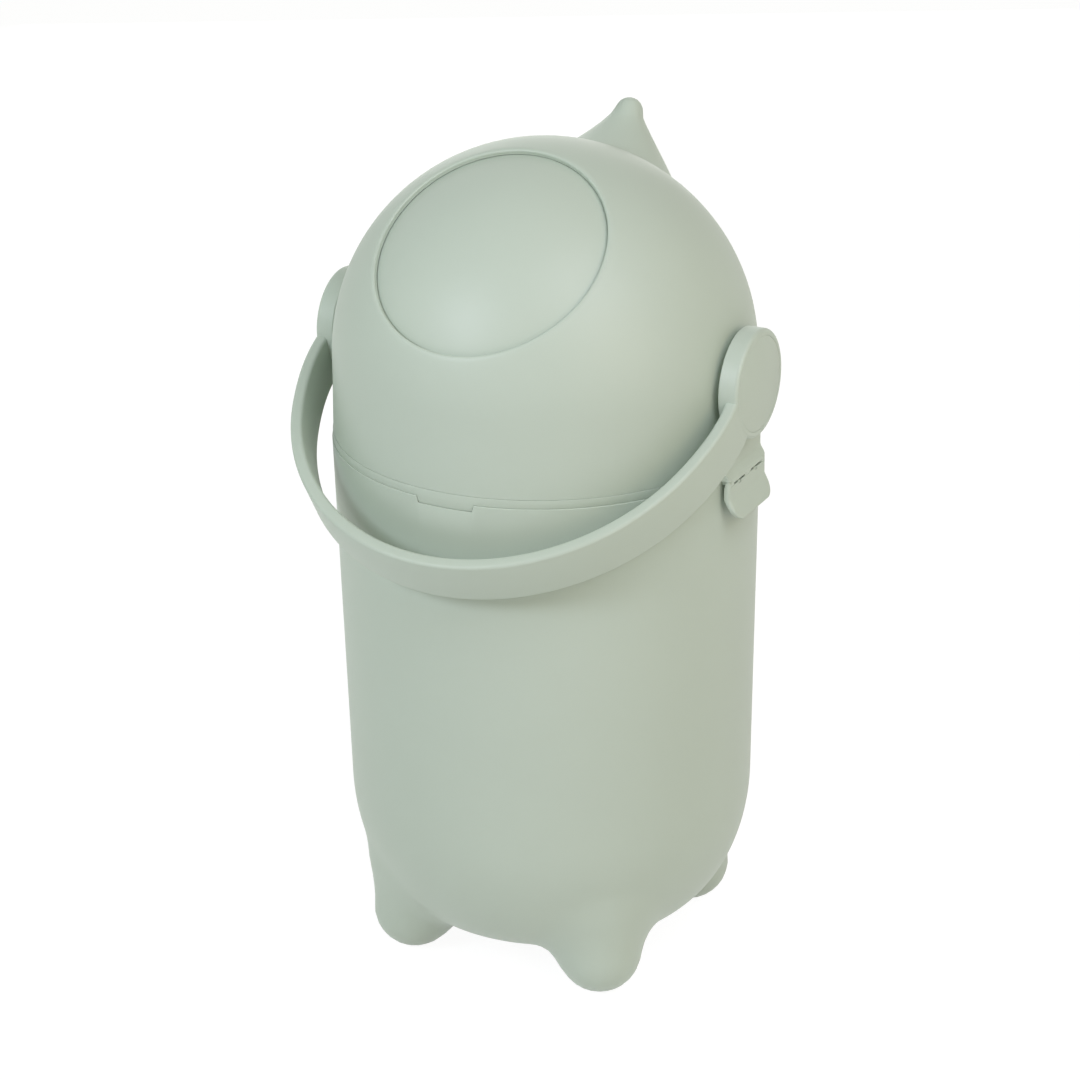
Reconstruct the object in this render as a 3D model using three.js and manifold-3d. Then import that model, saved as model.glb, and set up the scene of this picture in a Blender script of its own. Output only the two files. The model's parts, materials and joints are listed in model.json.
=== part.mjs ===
// Nappy bin: a round bucket on four moulded feet under a dome lid with a horn.
// A ball turns inside the dome with the handle. Its mouth takes a nappy in the
// round opening and drops it into the bucket when the handle comes down.
// Millimetres, +Z up, front towards -Y, right-hand side towards +X.

import * as THREE from 'three';
import { mergeVertices } from 'three/addons/utils/BufferGeometryUtils.js';
import Module from 'manifold-3d';

const wasm = await Module();
wasm.setup();

// Faces round and along the curved pieces
const bodySides = 48;
const ballSides = 36;
const sealSides = 28;
const hubSides = 32;
const journalSides = 20;
const smallSides = 12;
const pinSides = 10;

// Fits shared by many pieces
const fitGap = 0.3;
const overrun = 2;
const weldDistance = 0.0001;

// Bucket
const rimRadius = 142;
const rimHeight = 370;
const taperSlope = 0.018;
const bucketWall = 2.6;
const bellyHeight = 26;
const cornerReach = 60;
const cornerRise = 96;
const traceStep = 1.5;
const traceProbe = 0.05;
const outerRows = 13;
const innerRows = 8;

// Feet, moulded in one with the bucket
const footRadius = 28.2;
const footFlatDepth = 0.8;
const soleThickness = 1.8;
const footInset = 40.8;
const thighRadius = 33;
const thighInset = 46.5;
const thighHeight = 57;
const footBlend = 17;
const footCrowding = 0.3;

// Bag ring and the ledge that carries it
const ledgeDrop = 26;
const ledgeWidth = 3;
const ledgeThickness = 2;
const bagRingHeight = 12;
const bagRingWall = 2.2;
const bagRingLip = 6;

// Lid ring
const bandHeight = 5.4;
const bandProud = 0.4;
const bandSkin = 1.3;
const ringFloor = 3;
const ringFloorReach = 8;
const spigotDepth = 12;
const spigotWall = 1.6;
const spigotFit = 0.6;
const lipHeight = 2.4;
const lipWall = 2;
const lipFit = 0.4;
const gasketWidth = 1.6;
const gasketHeight = 1.4;
const tabWidth = 41;
const tabDrop = 4.4;
const tabSlant = 1.6;
const tabThickness = 2.2;

// Dome
const domeInset = 2;
const domeWall = 3;
const skirtHeight = 49.2;
const skirtFlare = 1.2;
const padRadius = 27;
const padProud = 0.3;
const domeRows = 14;
const domeRowPower = 1.6;
const domeInnerRows = 10;
const domeInnerPower = 1;

// Horn at the back of the dome, leaning up from its root to its tip
const hornHeight = 51.2;
const hornTipRadius = 9.4;
const hornRootRadius = 52;
const hornRootElevation = THREE.MathUtils.degToRad(36.8);
const hornTipElevation = THREE.MathUtils.degToRad(45);
const hornFlarePower = 1.2;
const hornBlend = 6;

// Opening, its soft edge and its seal
const openingRadius = 77.1;
const openingEdge = 5;
const openingElevation = THREE.MathUtils.degToRad(50.7);
const sealOffset = 8;
const sealWidth = 2.4;
const sealDepth = 1.5;

// Ball inside the dome
const drumGap = 1.2;
const drumWall = 2.5;
const mouthInset = 0.6;
const drumSplit = THREE.MathUtils.degToRad(79);
const drumLapWidth = 5;
const drumRows = 8;
const cupRows = 5;
const drumBossRadius = 11;
const drumBossDepth = 7;

// Handle
const handleDroop = THREE.MathUtils.degToRad(31.3);
const hubRadius = 35;
const hubReach = 14.4;
const hubClearance = 0.6;
const hubEdge = 2.4;
const bailInset = 1.6;
const bailWidth = 34.2;
const bailThickness = 7.1;
const bailEdge = 2.2;
const bailCentreForward = 40.2;
const bailRoot = 16;
const bailSteps = 34;
const capRadius = 31;
const capThickness = 1.8;

// Stop peg on the dome and its slot in the hub's back
const pegRadius = 3;
const pegPlace = 23;
const pegHeight = 4;
const slotSteps = 10;

// Axle between hub and ball
const axleSquare = 11;
const journalRadius = 8;
const bushWall = 2.7;
const bushFlange = 3;
const bushFlangeThickness = 1.2;
const axleScrewRadius = 2;
const axleScrewHeadRadius = 4;
const axleScrewHeadHeight = 2.4;
const axleScrewLength = 18;
const axleSocketDepth = 5;

// Dome screws and their bosses
const bossRadius = 3.4;
const bossHeight = 8;
const bossBite = 0.6;
const domeScrewRadius = 1.2;
const domeScrewHeadRadius = 2.3;
const domeScrewHeadHeight = 1.5;
const domeScrewGrip = 6;

// Clip on the right
const clipPinDrop = 9;
const clipPinRadius = 1;
const clipFaceOut = 4.5;
const clipDepth = 4;
const clipHalfWidth = 28.5;
const clipLength = 24;
const clipPlate = 2.3;
const clipRim = 2;
const clipBend = 12;
const clipFlare = 4.5;
const clipCorner = 16;
const earWidth = 3;
const earPlace = 12.5;
const bracketLift = 11;
const bracketShoulder = 2;
const bracketWrap = 7;
const lipStart = THREE.MathUtils.degToRad(45);
const slotNear = 4.5;
const slotFar = 21.5;
const slotHeight = 0.3;
const hookHalfWidth = 10;
const hookDrop = 12.6;
const hookHeight = 1.6;
const hookReach = 1.7;
const catchHeight = 2;
const catchReach = 1.6;

// Lid hinge on the left
const hingePinOut = 4;
const hingePinDrop = 2.5;
const hingePinRadius = 1.4;
const hingeBarrelRadius = 3;
const hingeInnerHalf = 8;
const hingeOuterHalf = 18;
const hingeWebHeight = 6.5;
const hingeGusset = 9;

// Sizes worked out from the driving dimensions
const bandBase = rimHeight + fitGap;
const bandTop = bandBase + bandHeight;
const bandRadius = rimRadius + bandProud;
const skirtBase = bandTop + fitGap;
const centreHeight = skirtBase + skirtHeight;
const domeRadius = rimRadius - domeInset;
const domeInnerRadius = domeRadius - domeWall;
const skirtRadius = domeRadius + skirtFlare;
const drumRadius = domeInnerRadius - drumGap;
const drumInnerRadius = drumRadius - drumWall;
const mouthRadius = openingRadius - mouthInset;
const hubFace = domeRadius + hubReach;
const padFace = domeRadius + padProud;
const hubBack = padFace + hubClearance;
const bailRadius = hubFace - bailInset;
const cornerTop = bellyHeight + cornerRise;
const footHeight = footRadius - footFlatDepth;
const bushRadius = journalRadius + fitGap + bushWall;
const handleTravel = Math.PI / 2 + handleDroop;
const mouthElevation = openingElevation - Math.PI / 2;

// The bail's front and the band's back lie equally far from the origin
const bailFrontReach = (bailRadius + bailCentreForward - bailEdge) * Math.cos(handleDroop)
  + (bailWidth / 2 - bailEdge) * Math.sin(handleDroop) + bailEdge;
const centreForwardShift = (bailFrontReach - bandRadius) / 2;

// Looks of the plain model
const sage = new THREE.Color(0.69, 0.745, 0.7);
const sageLight = new THREE.Color(0.73, 0.78, 0.74);
const sealGrey = new THREE.Color(0.55, 0.6, 0.56);
const steelGrey = new THREE.Color(0.72, 0.72, 0.73);

function plastic(color) {
  return new THREE.MeshStandardMaterial({ color, roughness: 0.55, metalness: 0 });
}

function rubber() {
  return new THREE.MeshStandardMaterial({ color: sealGrey, roughness: 0.85, metalness: 0 });
}

function steel() {
  return new THREE.MeshStandardMaterial({ color: steelGrey, roughness: 0.35, metalness: 1 });
}

// A closed geometry as a solid whose faces point out
function solidOf(geometry) {
  const bare = geometry.clone();
  bare.deleteAttribute('normal');
  bare.deleteAttribute('uv');
  const welded = mergeVertices(bare, weldDistance);
  const place = welded.getAttribute('position');
  const index = welded.getIndex().array;
  const corners = [];
  let volume = 0;
  const a = new THREE.Vector3();
  const b = new THREE.Vector3();
  const c = new THREE.Vector3();
  for (let i = 0; i < index.length; i += 3) {
    const [p, q, r] = [index[i], index[i + 1], index[i + 2]];
    if (p === q || q === r || r === p) continue;
    corners.push(p, q, r);
    a.fromBufferAttribute(place, p);
    b.fromBufferAttribute(place, q);
    c.fromBufferAttribute(place, r);
    volume += a.dot(b.cross(c));
  }
  if (volume < 0) corners.reverse();
  return new wasm.Manifold(new wasm.Mesh({
    numProp: 3,
    vertProperties: Float32Array.from(place.array),
    triVerts: Uint32Array.from(corners),
  }));
}

function join(...solids) {
  return solids.reduce((whole, next) => whole.add(next));
}

function cut(solid, ...tools) {
  return tools.reduce((rest, tool) => rest.subtract(tool), solid);
}

function meshOf(name, solid, material) {
  const { vertProperties, triVerts } = solid.getMesh();
  const geometry = new THREE.BufferGeometry();
  geometry.setAttribute('position', new THREE.BufferAttribute(vertProperties, 3));
  geometry.setIndex(new THREE.BufferAttribute(triVerts, 1));
  geometry.computeVertexNormals();
  const mesh = new THREE.Mesh(geometry, material);
  mesh.name = name;
  return mesh;
}

// A skin through rings of equally many points, closed by a pole at each end
function loft(rings, firstPole, lastPole) {
  const count = rings[0].length;
  const points = [firstPole, ...rings.flat(), lastPole];
  const at = (ring, column) => 1 + ring * count + (column % count);
  const last = points.length - 1;
  const corners = [];
  for (let column = 0; column < count; column += 1) {
    corners.push(0, at(0, column), at(0, column + 1));
    for (let ring = 0; ring < rings.length - 1; ring += 1) {
      corners.push(at(ring, column), at(ring + 1, column), at(ring, column + 1));
      corners.push(at(ring, column + 1), at(ring + 1, column), at(ring + 1, column + 1));
    }
    corners.push(at(rings.length - 1, column), last, at(rings.length - 1, column + 1));
  }
  const geometry = new THREE.BufferGeometry().setFromPoints(points);
  geometry.setIndex(corners);
  return geometry;
}

function middleOf(ring) {
  const sum = ring.reduce((total, point) => total.add(point), new THREE.Vector3());
  return sum.divideScalar(ring.length);
}

// Revolved pieces: a profile of [radius, height] pairs, round Z, X or a tilted axis
function revolved(profile, sides) {
  const points = profile.map(([radius, height]) => new THREE.Vector2(radius, height));
  return new THREE.LatheGeometry(points, sides).rotateX(Math.PI / 2);
}

function closedRevolved(profile, sides) {
  return revolved([...profile, profile[0]], sides);
}

function alongX(geometry) {
  return geometry.rotateY(Math.PI / 2);
}

function towards(geometry, elevation) {
  return geometry.rotateX(Math.PI / 2 - elevation);
}

function onSide(geometry, side) {
  return geometry.scale(side, 1, 1);
}

// A polygon of [x, z] pairs that runs along Y from low to high
function prism(outline, low, high) {
  const shape = new THREE.Shape(outline.map(([x, z]) => new THREE.Vector2(x, z)));
  const geometry = new THREE.ExtrudeGeometry(shape, { depth: high - low, bevelEnabled: false });
  return geometry.rotateX(Math.PI / 2).translate(0, high, 0);
}

function barrel(radius, low, high, x, z, sides) {
  const geometry = new THREE.CylinderGeometry(radius, radius, high - low, sides);
  return geometry.translate(x, (low + high) / 2, z);
}

// Angles of the corners round a skin. Crowding draws them towards the four
// feet, which stand between the front, the sides and the back
function cornerTurns(crowding = 0) {
  return Array.from({ length: bodySides }, (_, i) => {
    const turn = (i / bodySides) * 2 * Math.PI;
    return turn + (crowding * Math.sin(4 * turn)) / 4;
  });
}

function ringAt(radius, height) {
  return cornerTurns().map((turn) => (
    new THREE.Vector3(radius * Math.sin(turn), -radius * Math.cos(turn), height)
  ));
}

function smoothMin(a, b, blend) {
  const share = THREE.MathUtils.clamp((1 + (b - a) / blend) / 2, 0, 1);
  return b + (a - b) * share - blend * share * (1 - share);
}

function arc(centreX, centreY, radiusX, radiusY, from, to, steps) {
  const points = [];
  for (let i = 0; i <= steps; i += 1) {
    const turn = from + ((to - from) * i) / steps;
    points.push([centreX + radiusX * Math.cos(turn), centreY + radiusY * Math.sin(turn)]);
  }
  return points;
}

// Bucket skin: how far a point lies outside the belly and the four feet
function bucketRadiusAt(height) {
  return rimRadius - taperSlope * (rimHeight - height);
}

function bellyDistance(radius, height) {
  const across = Math.max((radius - bucketRadiusAt(height) + cornerReach) / cornerReach, 0);
  const down = Math.max((cornerTop - height) / cornerRise, 0);
  return (Math.hypot(across, down) - 1) * Math.min(cornerReach, cornerRise);
}

function footDistance(x, y, z) {
  const out = (Math.abs(x) + Math.abs(y)) / Math.SQRT2;
  const across = (Math.abs(x) - Math.abs(y)) / Math.SQRT2;
  const point = new THREE.Vector3(out, across, z);
  const ball = new THREE.Vector3(rimRadius - footInset, 0, footHeight);
  const thigh = new THREE.Vector3(rimRadius - thighInset, 0, thighHeight);
  const leg = thigh.clone().sub(ball);
  const share = THREE.MathUtils.clamp(point.clone().sub(ball).dot(leg) / leg.lengthSq(), 0, 1);
  const nearest = ball.addScaledVector(leg, share);
  return point.distanceTo(nearest) - THREE.MathUtils.lerp(footRadius, thighRadius, share);
}

function bucketDistance(turn, radius, height) {
  const belly = bellyDistance(radius, height);
  const foot = footDistance(radius * Math.sin(turn), radius * Math.cos(turn), height);
  return smoothMin(belly, foot, footBlend);
}

// One upright section of the skin, followed from the wall down to the axis
function tracedSection(turn, inset) {
  const distance = (radius, height) => bucketDistance(turn, radius, height) + inset;
  const slope = (point) => new THREE.Vector2(
    distance(point.x + traceProbe, point.y) - distance(point.x - traceProbe, point.y),
    distance(point.x, point.y + traceProbe) - distance(point.x, point.y - traceProbe),
  ).divideScalar(2 * traceProbe);
  const settle = (point) => {
    for (let i = 0; i < 3; i += 1) {
      const steepest = slope(point);
      point.addScaledVector(steepest, -distance(point.x, point.y) / steepest.lengthSq());
    }
    return point;
  };
  let point = new THREE.Vector2(bucketRadiusAt(cornerTop) - inset, cornerTop);
  const trace = [point];
  while (point.x > traceStep) {
    const steepest = slope(point).normalize();
    point = settle(new THREE.Vector2(
      point.x - traceStep * -steepest.y,
      point.y - traceStep * steepest.x,
    ));
    trace.push(point);
  }
  return trace;
}

function spacedAlong(trace, count) {
  const lengths = [0];
  for (let i = 1; i < trace.length; i += 1) {
    lengths.push(lengths[i - 1] + trace[i].distanceTo(trace[i - 1]));
  }
  const whole = lengths[lengths.length - 1];
  const spaced = [];
  for (let k = 0; k < count; k += 1) {
    const wanted = (whole * k) / count;
    const next = Math.max(lengths.findIndex((length) => length >= wanted), 1);
    const share = (wanted - lengths[next - 1]) / (lengths[next] - lengths[next - 1]);
    spaced.push(trace[next - 1].clone().lerp(trace[next], share));
  }
  return spaced;
}

// Rings of the rounded belly and feet, from the top of the corner down
function bellyRings(inset, rows) {
  const columns = cornerTurns(footCrowding).map((turn) => (
    spacedAlong(tracedSection(turn, inset), rows).map(({ x, y }) => (
      new THREE.Vector3(x * Math.sin(turn), -x * Math.cos(turn), y)
    ))
  ));
  return Array.from({ length: rows }, (_, row) => columns.map((column) => column[row]));
}

function bucketShell() {
  const outer = bellyRings(0, outerRows).reverse();
  const inner = bellyRings(bucketWall, innerRows);
  const ledgeTop = rimHeight - ledgeDrop;
  const ledgeBase = ledgeTop - ledgeThickness;
  const innerAt = (height) => bucketRadiusAt(height) - bucketWall;
  const rings = [
    ...outer,
    ringAt(rimRadius, rimHeight),
    ringAt(rimRadius - bucketWall, rimHeight),
    ringAt(innerAt(ledgeTop), ledgeTop),
    ringAt(innerAt(ledgeTop) - ledgeWidth, ledgeTop),
    ringAt(innerAt(ledgeTop) - ledgeWidth, ledgeBase),
    ringAt(innerAt(ledgeBase - ledgeWidth), ledgeBase - ledgeWidth),
    ...inner,
  ];
  const bellyThickness = (bucketWall * cornerRise) / Math.min(cornerReach, cornerRise);
  const outerPole = new THREE.Vector3(0, 0, bellyHeight);
  const innerPole = new THREE.Vector3(0, 0, bellyHeight + bellyThickness);
  return solidOf(loft(rings, outerPole, innerPole));
}

// Everything below the floor, cut away so that each foot ends in a small flat
function underFloor() {
  const side = 4 * rimRadius;
  return solidOf(new THREE.BoxGeometry(side, side, rimHeight).translate(0, 0, -rimHeight / 2));
}

// The lowest slice of each foot, which ends in the flat that it stands on
function footSoles() {
  const soleRadius = (height) => Math.sqrt(footRadius ** 2 - (footHeight - height) ** 2);
  const place = (rimRadius - footInset) / Math.SQRT2;
  return [[1, 1], [1, -1], [-1, 1], [-1, -1]].map(([right, back]) => solidOf(revolved([
    [0, 0],
    [soleRadius(0), 0],
    [soleRadius(soleThickness), soleThickness],
    [0, soleThickness],
  ], smallSides).translate(right * place, back * place, 0)));
}

// Front tab of the lid ring, and the notch it fills, as one slanted outline
function tabOutline(clearance) {
  const half = tabWidth / 2 + clearance;
  const base = bandBase - tabDrop - clearance;
  const top = bandBase + bandHeight / 2;
  return [[-half, top], [-half, bandBase], [-half + tabSlant, base],
    [half - tabSlant, base], [half, bandBase], [half, top]];
}

const clipFaceX = rimRadius + clipFaceOut;
const clipBarrelRadius = clipDepth / 2;
const clipPinX = clipFaceX - clipBarrelRadius;
const clipPinZ = rimHeight - clipPinDrop;
const clipPinHalf = clipHalfWidth - clipRim;
const hingePinX = -rimRadius - hingePinOut;
const hingePinZ = rimHeight - hingePinDrop;
const hookTop = clipPinZ - hookDrop;

function hingeKnuckle(low, high) {
  return solidOf(barrel(hingeBarrelRadius, low, high, hingePinX, hingePinZ, smallSides));
}

function bucketHingeEar(side) {
  const near = hingeInnerHalf + fitGap;
  const low = side > 0 ? near : -hingeOuterHalf;
  const high = side > 0 ? hingeOuterHalf : -near;
  const wallX = -rimRadius + bucketWall;
  const gusset = prism([
    [wallX, hingePinZ],
    [hingePinX, hingePinZ],
    [hingePinX - hingeBarrelRadius / 2, hingePinZ - hingeBarrelRadius * 0.8],
    [wallX, hingePinZ - hingeGusset],
  ], low, high);
  const ear = join(solidOf(gusset), hingeKnuckle(low, high));
  return cut(ear, solidOf(revolved([
    [0, 0],
    [rimRadius - bucketWall / 2, 0],
    [rimRadius - bucketWall / 2, rimHeight + overrun],
    [0, rimHeight + overrun],
  ], bodySides)));
}

function bucketCatch() {
  const base = hookTop + fitGap;
  const innerX = rimRadius - bucketWall;
  const outerX = bucketRadiusAt(base) + catchReach;
  return cut(solidOf(prism([
    [innerX, base],
    [outerX, base],
    [outerX, base + catchHeight],
    [innerX, base + catchHeight + catchReach],
  ], -hookHalfWidth, hookHalfWidth)), solidOf(revolved([
    [0, 0],
    [bucketRadiusAt(base) - bucketWall / 2, 0],
    [bucketRadiusAt(base) - bucketWall / 2, rimHeight],
    [0, rimHeight],
  ], bodySides)));
}

function makeBucket() {
  const pinHole = barrel(hingePinRadius + fitGap, -hingeOuterHalf - overrun,
    hingeOuterHalf + overrun, hingePinX, hingePinZ, pinSides);
  const notch = prism(tabOutline(fitGap), -rimRadius - overrun, -rimRadius / 2);
  const body = cut(join(bucketShell(), ...footSoles()), underFloor(), solidOf(notch));
  const fitted = join(body, bucketHingeEar(1), bucketHingeEar(-1), bucketCatch());
  return cut(fitted, solidOf(pinHole));
}

function makeBagRing() {
  const base = rimHeight - ledgeDrop + fitGap;
  const outer = bucketRadiusAt(base) - bucketWall - spigotFit;
  const inner = outer - bagRingWall;
  return solidOf(closedRevolved([
    [outer, base],
    [outer, base + bagRingHeight],
    [inner, base + bagRingHeight],
    [inner, base + bagRingWall],
    [inner - bagRingLip, base + bagRingWall],
    [inner - bagRingLip, base],
  ], bodySides));
}

const spigotOuter = rimRadius - bucketWall - spigotFit;
const spigotInner = spigotOuter - spigotWall;
const bossPlace = domeInnerRadius - bossRadius + bossBite;
const floorInner = domeInnerRadius - ringFloorReach;
const grooveTop = bandBase + gasketHeight + fitGap;
const grooveOuter = bandRadius - bandSkin;

// The turned angles of the four dome screws, between the front and the sides
const screwTurns = [1, 3, 5, 7].map((eighth) => (eighth * Math.PI) / 4);

function atScrews(makeGeometry) {
  return screwTurns.map((turn) => (
    makeGeometry().translate(bossPlace * Math.sin(turn), -bossPlace * Math.cos(turn), 0)
  ));
}

function upright(radius, low, high, sides) {
  const geometry = new THREE.CylinderGeometry(radius, radius, high - low, sides);
  return geometry.rotateX(Math.PI / 2).translate(0, 0, (low + high) / 2);
}

function ringBand() {
  const floorBase = bandTop - ringFloor;
  const lipOuter = domeInnerRadius - lipFit;
  return solidOf(closedRevolved([
    [bandRadius, bandBase],
    [bandRadius, bandTop],
    [lipOuter, bandTop],
    [lipOuter, bandTop + lipHeight],
    [lipOuter - lipWall, bandTop + lipHeight],
    [lipOuter - lipWall, bandTop],
    [floorInner, bandTop],
    [floorInner, floorBase],
    [spigotInner, floorBase],
    [spigotInner, rimHeight - spigotDepth],
    [spigotOuter, rimHeight - spigotDepth],
    [spigotOuter, bandBase],
  ], bodySides));
}

// The groove takes the gasket and runs on behind the tab, bracket and hinge ear
function gasketGroove() {
  return solidOf(closedRevolved([
    [spigotOuter, bandBase - fitGap],
    [grooveOuter, bandBase - fitGap],
    [grooveOuter, grooveTop],
    [spigotOuter, grooveTop],
  ], bodySides));
}

function ringTab() {
  const block = solidOf(prism(tabOutline(0), -bandRadius - overrun, -rimRadius / 2));
  return block.intersect(solidOf(closedRevolved([
    [bandRadius, bandBase - 2 * tabDrop],
    [bandRadius, bandTop],
    [bandRadius - tabThickness, bandTop],
    [bandRadius - tabThickness, bandBase - 2 * tabDrop],
  ], bodySides)));
}

// What the clip's bracket keeps clear of: bucket below, dome above
function bracketClearance() {
  const bite = bandRadius - bandProud;
  return solidOf(revolved([
    [0, 0],
    [rimRadius + fitGap, 0],
    [rimRadius + fitGap, bandBase],
    [bite, bandBase],
    [bite, bandTop],
    [skirtRadius + fitGap, bandTop],
    [skirtRadius + fitGap, centreHeight],
    [0, centreHeight],
  ], bodySides));
}

// One piece for each half of the clip, made from its nearer and farther side
function inPairs(makePiece, near, far) {
  return [makePiece(near, far), makePiece(-far, -near)];
}

// The bracket's lower lip is hollowed round the pin, so that the clip's round
// top turns under it. Two slots in the lip show the ears that hold the pin
function ringBracket() {
  const base = clipPinZ + clipBarrelRadius + fitGap;
  const top = rimHeight + bracketLift;
  const innerX = rimRadius - bracketWrap;
  const lipRadius = clipBarrelRadius + fitGap;
  const lip = arc(clipPinX, clipPinZ, lipRadius, lipRadius, Math.PI / 2, lipStart, 4);
  const plate = prism([
    [innerX, base],
    ...lip,
    [clipFaceX, clipPinZ + lipRadius * Math.sin(lipStart)],
    [clipFaceX, rimHeight + bracketShoulder],
    [skirtRadius + fitGap + bandProud, top],
    [innerX, top],
  ], -clipHalfWidth, clipHalfWidth);
  const slots = inPairs((low, high) => solidOf(prism([
    [clipPinX, clipPinZ],
    [clipFaceX + overrun, clipPinZ],
    [clipFaceX + overrun, base + slotHeight],
    [clipPinX, base + slotHeight],
  ], low, high)), slotNear, slotFar);
  const ears = inPairs((low, high) => join(
    solidOf(barrel(clipBarrelRadius, low, high, clipPinX, clipPinZ, smallSides)),
    solidOf(prism([
      [clipPinX - clipBarrelRadius, clipPinZ],
      [clipFaceX, clipPinZ],
      [clipFaceX, base + 2 * slotHeight],
      [clipPinX - clipBarrelRadius, base + 2 * slotHeight],
    ], low, high)),
  ), earPlace - earWidth / 2, earPlace + earWidth / 2);
  const pinHole = barrel(clipPinRadius + fitGap, -clipHalfWidth - overrun,
    clipHalfWidth + overrun, clipPinX, clipPinZ, pinSides);
  const slotted = cut(solidOf(plate), bracketClearance(), ...slots);
  return cut(join(slotted, ...ears), solidOf(pinHole));
}

function ringHingeEar() {
  const reach = hingeBarrelRadius * 0.85;
  const web = prism([
    [hingePinX - reach, hingePinZ],
    [hingePinX - reach, hingePinZ + reach],
    [hingePinX, hingePinZ + hingeWebHeight],
    [-bandRadius + bandProud, hingePinZ + hingeWebHeight],
    [-bandRadius + bandProud, bandBase + fitGap],
    [-bandRadius - fitGap, bandBase + fitGap],
    [hingePinX + reach, hingePinZ],
  ], -hingeInnerHalf, hingeInnerHalf);
  const pinHole = barrel(hingePinRadius + fitGap, -hingeInnerHalf - overrun,
    hingeInnerHalf + overrun, hingePinX, hingePinZ, pinSides);
  const ear = join(solidOf(web), hingeKnuckle(-hingeInnerHalf, hingeInnerHalf));
  return cut(ear, solidOf(pinHole));
}

function makeLidRing() {
  const holes = atScrews(() => upright(domeScrewRadius + fitGap, bandBase, bandTop + overrun, pinSides));
  const bossRoom = atScrews(() => (
    upright(bossRadius + lipFit, bandTop, bandTop + lipHeight + overrun, smallSides)
  ));
  const band = cut(ringBand(), ...holes.map(solidOf), ...bossRoom.map(solidOf));
  return cut(join(band, ringTab(), ringBracket(), ringHingeEar()), gasketGroove());
}

function makeLidGasket() {
  const inner = spigotOuter + fitGap;
  const outer = Math.min(inner + gasketWidth, grooveOuter - fitGap);
  return solidOf(closedRevolved([
    [inner, bandBase],
    [outer, bandBase],
    [outer, bandBase + gasketHeight],
    [inner, bandBase + gasketHeight],
  ], bodySides));
}

// Dome skin: how far a point lies outside the sphere and the horn. The horn's
// level circles shrink and climb from the root's middle to the tip's
const hornTipDistance = domeRadius + hornHeight - hornTipRadius;
const hornLean = Math.hypot(1, (hornRootRadius - hornTipRadius) / (hornHeight - hornTipRadius));

function backwards(elevation) {
  return new THREE.Vector3(0, Math.cos(elevation), Math.sin(elevation));
}

function hornDistance(point) {
  const reach = point.length();
  if (reach > hornTipDistance) {
    return point.distanceTo(backwards(hornTipElevation).multiplyScalar(hornTipDistance)) - hornTipRadius;
  }
  const rise = (reach - domeRadius) / (hornTipDistance - domeRadius);
  const share = THREE.MathUtils.clamp(rise, 0, 1);
  const middle = backwards(THREE.MathUtils.lerp(hornRootElevation, hornTipElevation, share));
  const radius = hornTipRadius + (hornRootRadius - hornTipRadius) * (1 - share) ** hornFlarePower;
  return (reach * point.angleTo(middle) - radius) / hornLean;
}

function domeDistance(point) {
  return smoothMin(point.length() - domeRadius, hornDistance(point), hornBlend);
}

function domeSkinAlong(direction, inset) {
  let inside = domeRadius / 2;
  let outside = domeRadius * 2;
  for (let i = 0; i < 30; i += 1) {
    const middle = (inside + outside) / 2;
    if (domeDistance(direction.clone().multiplyScalar(middle)) + inset < 0) inside = middle;
    else outside = middle;
  }
  return direction.clone().multiplyScalar(inside).add(new THREE.Vector3(0, 0, centreHeight));
}

// Nested circles that start round the horn's tip and end level at the equator
function domeRings(inset, rows, power) {
  const hornTilt = Math.PI / 2 - hornTipElevation;
  const rings = [];
  for (let row = 1; row <= rows; row += 1) {
    const share = (row / rows) ** power;
    const spread = (share * Math.PI) / 2;
    const tilt = hornTilt * (1 - share);
    rings.push(ringAt(Math.sin(spread), Math.cos(spread)).map((direction) => (
      domeSkinAlong(direction.applyAxisAngle(new THREE.Vector3(1, 0, 0), -tilt), inset)
    )));
  }
  return rings;
}

function domeBlank() {
  const tipDirection = backwards(hornTipElevation);
  const rings = [
    ...domeRings(0, domeRows, domeRowPower),
    ringAt(domeRadius, centreHeight - hubRadius),
    ringAt(skirtRadius, skirtBase),
    ringAt(domeInnerRadius, skirtBase),
    ...domeRings(domeWall, domeInnerRows, domeInnerPower).reverse(),
  ];
  return solidOf(loft(rings, domeSkinAlong(tipDirection, 0), domeSkinAlong(tipDirection, domeWall)));
}

function fromCentre(geometry) {
  return geometry.translate(0, 0, centreHeight);
}

// The opening's cutter flares softly into the dome's outer face
function openingCutter() {
  const edgeRadius = openingRadius + openingEdge;
  const edgeHeight = Math.sqrt(domeRadius ** 2 - edgeRadius ** 2);
  const edgeSlope = edgeRadius / edgeHeight;
  const start = new THREE.Vector2(openingRadius, edgeHeight);
  const corner = new THREE.Vector2(openingRadius, edgeHeight + openingEdge * edgeSlope);
  const end = new THREE.Vector2(edgeRadius, edgeHeight);
  const edge = new THREE.QuadraticBezierCurve(start, corner, end).getPoints(4);
  const beyond = [edgeRadius + overrun, edgeHeight + overrun * (1 - edgeSlope)];
  return fromCentre(towards(revolved([
    [0, domeInnerRadius / 2],
    [openingRadius, domeInnerRadius / 2],
    ...edge.map(({ x, y }) => [x, y]),
    beyond,
    [edgeRadius + overrun, domeRadius + overrun],
    [0, domeRadius + overrun],
  ], ballSides), openingElevation));
}

// A band round the opening between two spheres, for the seal and its groove
function sealBand(lowRadius, highRadius, halfWidth) {
  const middle = Math.asin((openingRadius + sealOffset) / domeInnerRadius);
  const spread = halfWidth / domeInnerRadius;
  const corner = (radius, angle) => [radius * Math.sin(angle), radius * Math.cos(angle)];
  return fromCentre(towards(closedRevolved([
    corner(lowRadius, middle - spread),
    corner(lowRadius, middle + spread),
    corner(highRadius, middle + spread),
    corner(highRadius, middle - spread),
  ], sealSides), openingElevation));
}

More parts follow.
